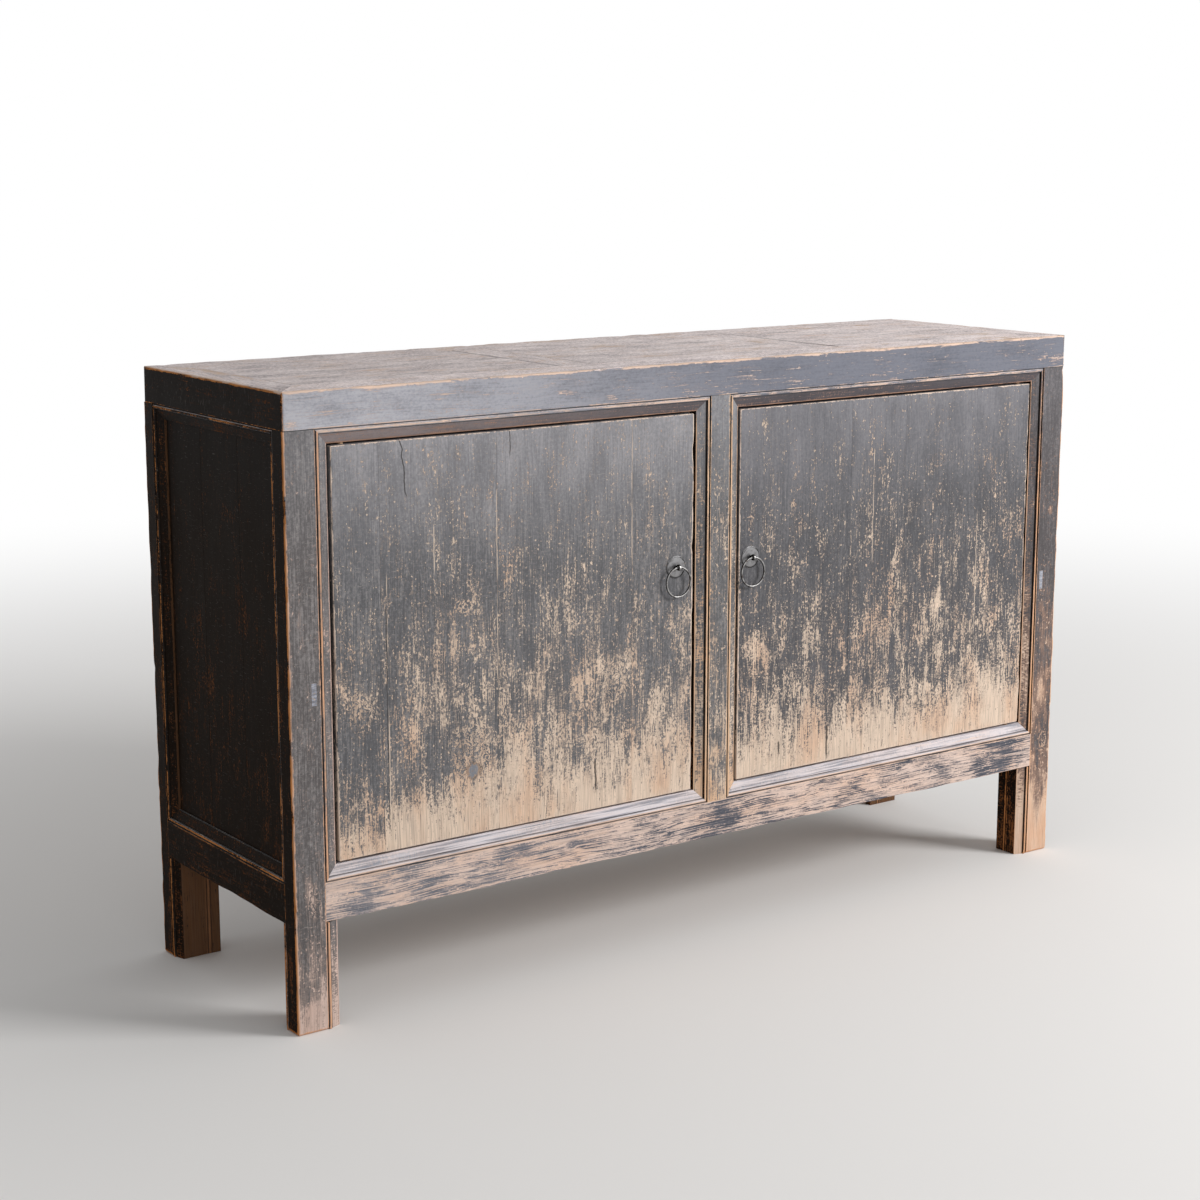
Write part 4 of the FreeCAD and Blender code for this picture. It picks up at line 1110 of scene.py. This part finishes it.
@dataclass
class Carcass(Joinery):
    """The lacquered frame: posts, rails and stiles, with the mouldings round their openings."""

    arris: float = 2.8 * MM
    nick: float = 1.3 * MM
    moulding: float = 20.5 * MM
    crest_inset: float = 3.75 * MM
    door_gap: float = 1.5 * MM
    corner: float = 4.5 * MM
    rear_corner: float = 9.0 * MM
    corner_cuts: int = 5
    lip_waver: float = 0.8 * MM
    foot_waver: float = 3.2 * MM
    slow_wave: float = 170 * MM
    fast_wave: float = 38 * MM

    def build(self) -> None:
        """Builds the frame's pieces."""
        self.posts()
        self.top_rails()
        self.bottom_rails()
        self.stiles()

    def posts(self) -> None:
        """The four posts that run down into the feet."""
        for side in ("left", "right"):
            for face in ("front", "back"):
                node = f"post_{face}_{side}"
                low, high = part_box(node)
                inner = min(abs(low.x), abs(high.x))
                crest = self.moulding - self.crest_inset
                edge = high.y if face == "front" else low.y
                towards = -1 if face == "front" else 1
                crests = (Plane(Axis.X, inner + crest, True),
                          Plane(Axis.Y, edge + towards * crest, flipped=face == "front"))
                finish = f"post_{side}" if face == "front" else "back_post"
                lips = (Plane(Axis.X, inner, True), Plane(Axis.Y, edge))
                self.dress(node, Axis.Z, finish, crests, lips, True,
                           wanted=lambda planes: True, others=POST_ENDS)

    def top_rails(self) -> None:
        """The mitred frame of the top, with its moulded lip."""
        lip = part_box("top_front_rail")[0].z
        crest = lip + self.moulding - self.crest_inset
        for side, grain, finish, upper in RAILS:
            self.dress(f"top_{side}_rail", grain, finish, (Plane(Axis.Z, crest),),
                       (Plane(Axis.Z, lip),), wanted=lambda planes: HIGH_Z in planes,
                       shape=self.round_corners, others={**RAIL_ENDS, (Axis.Z, 1): upper},
                       late=lambda piece: self.waver_line(piece, lip + self.moulding,
                                                          self.lip_waver))

    def round_corners(self, piece: bpy.types.Object) -> None:
        """Rounds the frame's upright corners by planes that both mitred rails share."""
        for right in (-1, 1):
            for behind in (-1, 1):
                radius = self.corner if behind < 0 else self.rear_corner
                corner = Vector((self.high.x if right > 0 else self.low.x,
                                 self.high.y if behind > 0 else self.low.y, 0.0))
                away = [(corner - vertex.co).to_2d().length for vertex in piece.data.vertices]
                if min(away) > TOUCH + self.arris:
                    continue
                middle = corner - Vector((right, behind, 0.0)) * radius
                for turn in range(1, self.corner_cuts + 1):
                    angle = math.radians(90 * turn / (self.corner_cuts + 1))
                    normal = Vector((right * math.cos(angle), behind * math.sin(angle), 0.0))
                    self.cut(middle + normal * radius, normal, away=True)

    def waver_line(self, piece: bpy.types.Object, height: float, rise: float) -> None:
        """Makes a long line of a rail waver up and down, as a hand-planed edge does.

        Args:
            piece: the rail.
            height: the line's height.
            rise: how far it may rise or, where negative, fall.
        """
        places = self.places(piece)
        near = np.abs(places[:, 2] - height) < 4 * TOUCH + self.edge
        level = places * np.array((1, 1, 0))
        slow = self.noise_at(level, self.slow_wave, (2, 8, 3)) + 0.5
        fast = self.noise_at(level, self.fast_wave, (7, 1, 6)) + 0.5
        share = np.clip(0.65 * slow + 0.35 * fast, 0, 1)
        places[:, 2] += np.where(near, share * rise, 0.0)
        self.move(piece, places)

    def bottom_rails(self) -> None:
        """The rails under the doors, the sides and the back."""
        for side, grain, finish, _ in RAILS:
            node = f"bottom_{side}_rail"
            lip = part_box(node)[1].z
            crest = lip - self.moulding + self.crest_inset
            self.dress(node, grain, finish, (Plane(Axis.Z, crest, flipped=True),),
                       others=RAIL_ENDS,
                       late=lambda piece: self.waver_line(piece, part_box(node)[0].z,
                                                          self.foot_waver))

    def stiles(self) -> None:
        """The stile between the doors and its plain fellow at the back."""
        boards = [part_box(f"door_right_board_{number}")[0].x for number in (1, 2, 3)]
        half = min(boards) - self.door_gap
        crest = Plane(Axis.X, half - self.moulding + self.crest_inset, True, True)
        lip = Plane(Axis.X, half, True)
        self.dress("centre_stile", Axis.Z, "stile", (crest,), (lip,), others=POST_ENDS,
                   shape=lambda piece: self.cut(Vector((0, 0, 0)), Vector((1, 0, 0))))
        self.dress("back_centre_stile", Axis.Z, "bare_z")


@dataclass
class Top(Joinery):
    """The flush panels of the top and the bars between them."""

    edge: float = 0.5 * MM

    def build(self) -> None:
        """Builds the top's infill."""
        for side in ("left", "middle", "right"):
            self.dress(f"top_panel_{side}", Axis.X, "top_panel")
        for side in ("left", "right"):
            self.dress(f"top_cross_bar_{side}", Axis.Y, "top_cross_bar")


@dataclass
class Boards(Joinery):
    """The upright boards that close the ends and the back."""

    edge: float = 0.5 * MM
    arris: float = 1.0 * MM
    waver: float = 0.3 * MM

    def build(self) -> None:
        """Builds the boards of both ends and of the back."""
        for side, inwards in (("left", 1), ("right", -1)):
            for number in (1, 2, 3):
                self.dress(f"side_board_{side}_{number}", Axis.Z, "side",
                           others={(Axis.X, inwards): "bare_z"})
            for number in (1, 2):
                self.dress(f"back_board_{side}_{number}", Axis.Z, "bare_z")


@dataclass
class Inside(Joinery):
    """The floor and the shelf with what carries them, all bare wood."""

    def build(self) -> None:
        """Builds the floor and the shelf."""
        for node in ("floor_board_1", "floor_board_2", "floor_board_3", "shelf_board_1",
                     "shelf_board_2"):
            self.dress(node, Axis.X, "bare_x")
        for node in ("floor_bearer_left", "floor_bearer_right", "shelf_bearer_left",
                     "shelf_bearer_middle", "shelf_bearer_right"):
            self.dress(node, Axis.Y, "bare_y", others={(Axis.Y, 0): "tenon"})


@dataclass
class Door(Joinery):
    """A flush door of upright boards on battens, with its wooden pivots."""

    side: str = "left"
    boards: int = 4
    edge: float = 0.5 * MM
    arris: float = 1.6 * MM
    waver: float = 0.35 * MM

    def outline(self) -> tuple[str, ...]:
        """The door's boards."""
        return tuple(f"door_{self.side}_board_{number + 1}" for number in range(self.boards))

    def build(self) -> None:
        """Builds the door's boards, battens and pivots."""
        for node in self.outline():
            self.dress(node, Axis.Z, f"door_{self.side}", wanted=lambda planes: True,
                       others={(Axis.Y, 1): "bare_z"})
        for place in ("bottom", "top"):
            self.dress(f"door_{self.side}_batten_{place}", Axis.X, "bare_x")
        self.dress(f"door_{self.side}_pivots", Axis.Z, "bare_z")


@dataclass
class Pull(Joinery):
    """A hanging ring in the eye of a split pin, on a round plate."""

    side: str = "left"
    rim: float = 1.0 * MM
    rim_from: float = 0.9
    edge: float = 0.3 * MM
    play: float = 0.04 * MM
    bend_size: float = 16 * MM

    def outline(self) -> tuple[str, ...]:
        """The plate alone."""
        return (f"pull_plate_{self.side}",)

    def build(self) -> None:
        """Builds the plate, the pin and the ring."""
        self.plate()
        self.pin()
        self.ring()

    def finish_iron(self, piece: bpy.types.Object, node: str, finish: str) -> None:
        """Writes how much each point faces the front, where hands rub it and where the painted highlight
        falls, and hands it over.
        """
        normals = np.empty(len(piece.data.vertices) * 3, np.float32)
        piece.data.vertices.foreach_get("normal", normals)
        made = piece.data.attributes.new("facing", "FLOAT", "POINT")
        made.data.foreach_set("value", -normals.reshape(-1, 3)[:, 1])
        self.hand_over(piece, node, finish)

    def plate(self) -> None:
        """The round plate, its rim hammered over."""
        node = f"pull_plate_{self.side}"
        piece = self.copy_node(node)
        middle = (self.low + self.high) / 2
        radius = (self.high.x - self.low.x) / 2

        def on_rim(*ends: int) -> bool:
            """Whether an edge's two vertices both lie on the front rim."""
            away = [piece.data.vertices[end].co - middle for end in ends]
            return all(gap.y < 0 and math.hypot(gap.x, gap.z) > radius * self.rim_from
                       for gap in away)

        self.bevel(piece, self.rim, 5, on_rim)
        bpy.ops.object.shade_smooth_by_angle(angle=math.radians(35))
        self.finish_iron(piece, node, "plate")

    def pin(self) -> None:
        """The split pin that goes through the door, its eye in front."""
        node = f"split_pin_{self.side}"
        piece = self.copy_node(node)
        self.soften(piece)
        bpy.ops.object.shade_smooth_by_angle(angle=SHARP)
        self.finish_iron(piece, node, "pin")

    def ring(self) -> None:
        """The ring, bent by hand from round bar."""
        node = f"pull_ring_{self.side}"
        low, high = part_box(node)
        wire = (high.y - low.y) / 2 - self.play
        middle = (low + high) / 2
        bpy.ops.object.select_all(action="DESELECT")
        bpy.ops.mesh.primitive_torus_add(location=middle, rotation=(math.radians(90), 0, 0),
                                         major_radius=(high.z - low.z) / 2 - self.play - wire,
                                         minor_radius=wire, major_segments=96, minor_segments=18)
        piece = bpy.context.active_object
        piece.name = node + "_worn"
        bpy.ops.object.transform_apply(location=True, rotation=True, scale=True)
        places = self.places(piece)
        shift = np.stack([self.noise_at(places, self.bend_size, (place, 2, 5))
                          for place in (1, 4, 8)], axis=1)
        self.move(piece, places + shift * self.play)
        bpy.ops.object.shade_smooth()
        self.finish_iron(piece, node, "ring")


# The cabinet's finishes

DOOR_COAT = dict(
    tide=((225, 1.15), (250, 0.95), (280, 0.76), (310, 0.59), (340, 0.475), (420, 0.385),
          (480, 0.305), (540, 0.23), (600, 0.16), (660, 0.11), (720, 0.02), (765, -0.06)),
    sway=70.0, arris_width=2.2, arris_wear=1.0, arris=srgb(218, 200, 186), bloom_and_sheen_low=560.0,
    wood=srgb(212, 191, 171), lines=1.2)
# The lacquer of faces that look sideways at the ends: a copy of the front's lacquer made much darker as
# painted shade.
END_PAINTED_SHADE = dict(
    lacquer=srgb(28, 21, 16), bloom=srgb(30, 26, 24), thin=srgb(52, 34, 23), wood=srgb(98, 62, 40),
    warm=srgb(150, 96, 58), dark_grain=srgb(36, 24, 17), scratch=srgb(98, 94, 92),
    haze=srgb(46, 38, 32), shadow=srgb(12, 9, 7), arris=srgb(226, 152, 92), specular=0.02,
    roughness=0.5, lip_wear=0.12, arris_width=4.6, arris_wear=1.1, specks=0.15, residue=0.0)
POST_COAT = dict(
    lacquer=srgb(90, 86, 86), bloom=srgb(104, 102, 104), thin=srgb(134, 119, 112),
    arris=srgb(208, 150, 104), flecks=0.7, dashes=0.7, lines=0.8, bands=0.9, specks=0.4, residue=0.2,
    soft=0.3, streaks=0.6, marks=0.5, grain_depth=0.5, arris_width=4.0, joint=800.0, crest_wear=0.8,
    arris_wear=1.1)
DARK_BACK = dict(
    lacquer=srgb(38, 32, 28), thin=srgb(54, 42, 33), wood=srgb(92, 68, 50), warm=srgb(104, 72, 48),
    arris=srgb(150, 106, 74), bloom_and_sheen_low=900.0, bloom_and_sheen_high=901.0, specular=0.1, haze=srgb(96, 86, 78))
# The top's lacquer: its painted light grows brighter towards the right.
TOP_COAT = dict(
    lacquer=srgb(162, 150, 147), bloom=srgb(172, 160, 156), thin=srgb(186, 169, 161), flecks=0.7,
    dashes=0.8, streaks=1.6, scratches=0.7, specular=0.08, patches=1.6, marks=0.3, roughness=0.74,
    left_tint=(1.38, 1.43, 1.5), right_tint=(1.76, 1.82, 1.9), tint_from=-600.0, tint_to=600.0,
    haze=srgb(214, 202, 194))
# The seams on the outer sides of the top's two cross bars
TOP_SEAMS = tuple(Crack(side * PER_METRE, 870, 800, 0.0, 2.6, 0.0) for side in (
    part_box("top_cross_bar_left")[0].x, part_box("top_cross_bar_right")[1].x))

FINISHES: dict[str, Any] = {
    "post_left": WornLacquer(
        "post_lacquer", Axis.Z,
        ((0, 1.1), (30, 0.86), (70, 0.52), (120, 0.4), (200, 0.27), (300, 0.08), (500, 0.1),
            (780, 0.0)),
        wood=srgb(204, 180, 168), warm=srgb(200, 170, 156), groove_shade=0.9,
        blotches=(Blotch(-684, 740, 22, 30, 0.06), Blotch(-664, 700, 16, 40, 0.1),
            Blotch(-676, 190, 16, 46, 0.3), Blotch(-673, 462, 4, 22, 0.5)),
        knots=(Knot(-668, 180, 16, 30, 3, 0.5),), **POST_COAT),
    "post_right": WornLacquer(
        "right_post_lacquer", Axis.Z,
        ((0, 1.3), (60, 1.0), (110, 0.8), (150, 0.56), (210, 0.4), (300, 0.55), (360, 0.54),
            (430, 0.38), (500, 0.18), (780, 0.0)),
        wood=srgb(208, 184, 164), warm=srgb(200, 158, 128), groove_shade=0.9,
        right_tint=(0.66, 0.64, 0.66),
        blotches=(Blotch(680, 570, 9, 12, 0.5), Blotch(667, 730, 60, 70, -0.12)),
        knots=(Knot(682, 190, 15, 24, 2.5, 0.7),),
        **(POST_COAT | dict(thin=srgb(156, 124, 104), flecks=0.5, dashes=0.5, bands=0.7,
                            lines=0.6, soft=0.42))),
    "tenon": WornLacquer(
        "tenon_lacquer", Axis.X, ((400, 0.1), (500, 0.1)), lacquer=srgb(140, 142, 152),
        bloom=srgb(140, 142, 152), haze=srgb(204, 206, 214), streaks=1.2),
    "back_post": WornLacquer(
        "back_post_lacquer", Axis.Z, ((0, 0.16), (150, 0.06), (780, 0.0)), **DARK_BACK),
    "back_rail": WornLacquer(
        "back_rail_lacquer", Axis.X, ((140, 0.16), (225, 0.1), (850, 0.05)), **DARK_BACK),
    "post_end": WornLacquer(
        "post_end_lacquer", Axis.Z, ((0, 0.4), (120, 0.2), (780, 0.0)), cross=Axis.Y, **END_PAINTED_SHADE),
    "rail": WornLacquer(
        "rail_lacquer", Axis.X, ((140, 0.69), (225, 0.77), (779, 0.06), (850, 0.0)),
        lacquer=srgb(106, 108, 116), bloom=srgb(163, 163, 170), sway=0.0, thin=srgb(154, 144, 143),
        wood=srgb(214, 190, 176), tint_from=-640.0, right_tint=(0.38, 0.4, 0.45),
        warm=srgb(220, 184, 160), tint_to=120.0, arris=srgb(222, 192, 170), marks=0.3, painted_shade_low=770.0,
        painted_shade_high=793.5, arris_width=4.6, arris_wear=1.05, chalk_low=206.0, chalk_high=226.0,
        soft=0.24, bloom_and_sheen_low=640.0, flecks=0.6, dashes=1.1, lines=2.6, bands=1.1, patches=1.0,
        specks=0.25, residue=0.2, grain_depth=0.6, streaks=0.6, crest_wear=0.6, groove_shade=0.85,
        blotches=(Blotch(575, 175, 75, 60, -0.4), Blotch(15, 170, 60, 50, -0.28),
            Blotch(-600, 172, 45, 30, -0.32), Blotch(-350, 195, 60, 12, -0.3),
            Blotch(-500, 200, 60, 10, -0.3), Blotch(-282, 185, 24, 14, 0.2),
            Blotch(300, 180, 30, 16, 0.3), Blotch(-470, 830, 24, 10, 0.5),
            Blotch(-190, 808, 16, 8, 0.5), Blotch(-265, 820, 26, 5, 0.4),
            Blotch(-687, 808, 14, 9, 0.45), Blotch(-560, 846, 30, 8, 0.4))),
    "rail_end": WornLacquer(
        "rail_end_lacquer", Axis.Y, ((140, 0.25), (225, 0.2), (779, 0.05)), scratches=1.0, cross=Axis.Z,
        **END_PAINTED_SHADE),
    "end_rail": WornLacquer("end_rail_lacquer", Axis.Y, ((140, 0.1), (850, 0.05))),
    "stile": WornLacquer(
        "stile_lacquer", Axis.Z,
        ((200, 0.9), (260, 0.6), (340, 0.42), (460, 0.28), (600, 0.2), (780, 0.05)),
        lacquer=srgb(86, 86, 88), bloom=srgb(122, 122, 126), sway=0.0, flecks=1.2,
        dashes=1.2, lines=1.2, arris=srgb(214, 172, 134), warm=srgb(210, 166, 128), crest_wear=0.8,
        arris_width=3.0, marks=0.5, groove_shade=0.9),
    "door_left": WornLacquer(
        "door_lacquer", Axis.Z, **DOOR_COAT, lacquer=srgb(85, 85, 88), bloom=srgb(128, 127, 131),
        blotches=(Blotch(-590, 285, 95, 85, -0.24), Blotch(-500, 325, 55, 65, -0.16),
            Blotch(-600, 380, 60, 60, -0.26), Blotch(-415, 325, 70, 40, -0.08),
            Blotch(-150, 310, 90, 50, 0.06), Blotch(-85, 340, 60, 70, 0.08),
            Blotch(-200, 440, 110, 60, 0.06), Blotch(-340, 420, 120, 60, 0.07),
            Blotch(-76, 545, 42, 50, -0.5), Blotch(-430, 545, 18, 14, 0.12),
            Blotch(-612, 455, 26, 42, 0.08), Blotch(-330, 300, 90, 50, 0.08)),
        knots=(Knot(-357, 758, 16, 18, 3, 0.4), Knot(-356, 650, 14, 15, 3, 0.5),
            Knot(-425, 345, 44, 62, 4, 0.6), Knot(-421, 316, 15, 13, 2, 0.3, 0.7),
            Knot(-181, 411, 34, 42, 4, 0.5), Knot(-400, 280, 34, 24, 3, 0.4),
            Knot(-590, 420, 34, 36, 3, 0.45), Knot(-430, 545, 20, 16, 2.5, 0.8)),
        cracks=(Crack(-527, 778, 694, 0.1, 1.2, 12), Crack(-357, 778, 735, 0.0, 1.0, 6),
            Crack(-551, 612, 250, 0.0, 0.9, 3, True), Crack(-153.5, 780, 570, 0.0, 0.9, 3, True),
            Crack(-478, 660, 590, 0.0, 0.9, 3, True), Crack(-379, 700, 420, 0.0, 0.8, 4, True),
            Crack(-218, 300, 248, 0.05, 2.0, 4), Crack(-553, 560, 250, 0.0, 0.7, 3))),
    "door_right": WornLacquer(
        "right_door_lacquer", Axis.Z, **DOOR_COAT, lacquer=srgb(92, 92, 95), bloom=srgb(136, 135, 139),
        right_tint=(0.62, 0.62, 0.64), tint_to=60.0,
        blotches=(Blotch(66, 425, 30, 32, 0.4), Blotch(434, 450, 12, 36, 0.35),
            Blotch(62, 545, 45, 52, -0.5), Blotch(300, 300, 120, 50, 0.06),
            Blotch(560, 330, 80, 60, 0.1)),
        knots=(Knot(436, 673, 18, 22, 3, 0.5), Knot(409, 607, 18, 18, 3, 0.5),
            Knot(347, 605, 12, 14, 3, 0.4), Knot(200, 330, 26, 34, 4, 0.5)),
        cracks=(Crack(215, 285, 228, 0.0, 2.2, 5), Crack(120, 275, 245, 0.0, 2.0, 4),
            Crack(300, 700, 520, 0.0, 0.8, 4, True), Crack(520, 620, 380, 0.0, 0.8, 5, True))),
    "side": WornLacquer(
        "side_lacquer", Axis.Z, ((220, 0.2), (500, 0.08), (780, 0.0)), cross=Axis.Y, **END_PAINTED_SHADE),
    "top": WornLacquer("top_lacquer", Axis.X, ((830, 0.25), (850, 0.25)), **TOP_COAT),
    "top_front": WornLacquer(
        "top_front_lacquer", Axis.X, ((830, 0.25), (850, 0.25)),
        **(TOP_COAT | dict(left_tint=(1.62, 1.67, 1.75), right_tint=(1.9, 1.96, 2.05)))),
    "top_bar": WornLacquer("top_bar_lacquer", Axis.Y, ((830, 0.25), (850, 0.25)), **TOP_COAT),
    "top_panel": WornLacquer(
        "top_panel_lacquer", Axis.X, ((830, 0.2), (850, 0.2)), cracks=TOP_SEAMS, **TOP_COAT),
    "top_cross_bar": WornLacquer(
        "top_cross_bar_lacquer", Axis.Y, ((830, 0.22), (850, 0.22)), cracks=TOP_SEAMS, **TOP_COAT),
    "bare_x": BareWood("bare_wood_long", Axis.X),
    "bare_y": BareWood("bare_wood_deep", Axis.Y),
    "bare_z": BareWood("bare_wood_upright", Axis.Z),
    "plate": ForgedIron(
        "plate_iron", dark=srgb(104, 103, 104), bright=srgb(136, 135, 136), rust=srgb(98, 90, 86),
        shine=0.9),
    "pin": ForgedIron(
        "pin_iron", dark=srgb(22, 20, 19), bright=srgb(186, 184, 182), shine=1.0, rub_and_highlight_from=0.5,
        rub_and_highlight_full=0.95),
    "ring": ForgedIron(
        "ring_iron", dark=srgb(14, 13, 12), bright=srgb(156, 154, 153), shine=1.0, sheen=0.4,
        rub_and_highlight_from=0.48, rub_and_highlight_full=0.95),
}


@cache
def material_of(finish: str) -> bpy.types.Material:
    """The material of a finish, made once."""
    return FINISHES[finish].material()


# The studio

@dataclass
class Studio:
    """A plain pale floor, soft light and the camera."""

    floor_radius: float = 14.0
    floor_drop: float = 0.2 * MM
    eye: Point = (-2.0573, -2.7598, 1.1688)
    pan: float = 35.778
    tilt: float = 11.464
    lens: float = 69.56
    backdrop: Colour = (1.0, 1.0, 1.0)
    window: Point = (0.7, -0.5, 0.5)
    ambient: float = 0.42
    ambient_lean: float = 0.3
    pale: Colour = srgb(232, 230, 228)
    pale_roughness: float = 0.9
    fade_from: float = 1.0
    fade_to: float = 4.0
    lamp_place: Point = (2.9, -3.4, 2.3)
    lamp_target: Point = (0.0, 0.0, 0.45)
    lamp_width: float = 1.6
    lamp_power: float = 185.0
    sensor: float = 36.0
    far: float = 100.0

    def build(self) -> None:
        """Builds the floor, the lights and the camera."""
        self.floor()
        self.world()
        self.lamp()
        self.camera()

    def floor(self) -> None:
        """The floor, which fades into the backdrop with distance."""
        bpy.ops.object.select_all(action="DESELECT")
        bpy.ops.mesh.primitive_circle_add(vertices=96, radius=self.floor_radius, fill_type="NGON",
                                          location=(0, 0, CAD_BOX[0][2] - self.floor_drop))
        floor = bpy.context.active_object
        floor.name = "floor"
        bpy.ops.object.transform_apply(location=True, rotation=True, scale=True)
        floor.data.materials.append(self.floor_material())

    def floor_material(self) -> bpy.types.Material:
        """A pale floor that meets the backdrop's white away from the cabinet."""
        graph = Graph("pale_floor")
        reach = graph.length(graph.node("ShaderNodeTexCoord", None, None, "Object"))
        surface = graph.node("ShaderNodeBsdfPrincipled", None,
                             {"Base Color": self.pale, "Roughness": self.pale_roughness})
        glow = graph.node("ShaderNodeEmission", None, {"Color": self.backdrop, "Strength": 1.0})
        rays = graph.node("ShaderNodeLightPath", None, None, "Is Camera Ray")
        gloss = graph.node("ShaderNodeLightPath", None, None, "Is Glossy Ray")
        share = reach.rise(self.fade_from, self.fade_to) * rays.most(gloss)
        graph.close(graph.node("ShaderNodeMixShader", None, [share, surface, glow]))
        return graph.material

    def world(self) -> None:
        """Soft light from all round, fullest from the window side, and a white backdrop."""
        world = bpy.data.worlds.new("studio")
        world.use_nodes = True
        graph = Graph.of_tree(world.node_tree)
        rays = [graph.node("ShaderNodeLightPath", None, None, kind)
                for kind in ("Is Camera Ray", "Is Glossy Ray", "Is Transmission Ray")]
        seen = reduce(Value.most, rays)
        towards = graph.node("ShaderNodeVectorMath", {"operation": "DOT_PRODUCT"},
                             [graph.node("ShaderNodeTexCoord", None, None, "Generated"),
                              tuple(Vector(self.window).normalized())], "Value")
        soft = self.ambient + towards * self.ambient_lean
        strength = seen + (1 - seen) * soft
        graph.close(graph.node("ShaderNodeBackground", None,
                               {"Color": self.backdrop, "Strength": strength}),
                    "ShaderNodeOutputWorld")
        bpy.context.scene.world = world

    def lamp(self) -> None:
        """A wide soft key from the right front."""
        data = bpy.data.lights.new("key", "AREA")
        data.shape = "SQUARE"
        data.size = self.lamp_width
        data.energy = self.lamp_power
        lamp = bpy.data.objects.new("key", data)
        lamp.location = self.lamp_place
        way = Vector(self.lamp_target) - Vector(self.lamp_place)
        lamp.rotation_euler = way.to_track_quat("-Z", "Y").to_euler()
        bpy.context.scene.collection.objects.link(lamp)

    def camera(self) -> None:
        """The camera where the photograph was taken."""
        data = bpy.data.cameras.new("camera")
        data.lens = self.lens
        data.sensor_width = self.sensor
        data.clip_end = self.far
        camera = bpy.data.objects.new("camera", data)
        camera.location = self.eye
        camera.rotation_euler = (math.radians(90 - self.tilt), 0.0, -math.radians(self.pan))
        bpy.context.scene.collection.objects.link(camera)
        bpy.context.scene.camera = camera


def main() -> None:
    """Builds the cabinet and the studio round it."""
    logging.basicConfig(level=logging.INFO, format="%(name)s: %(message)s")
    bpy.context.scene.view_settings.view_transform = "Standard"
    Studio().build()
    for assembly in (Carcass(), Top(), Boards(), Inside(), Door(side="left", boards=4),
                     Door(side="right", boards=3), Pull(side="left"), Pull(side="right")):
        assembly.build()
        LOG.info("%s is done", type(assembly).__name__)


if __name__ == "__main__":
    main()
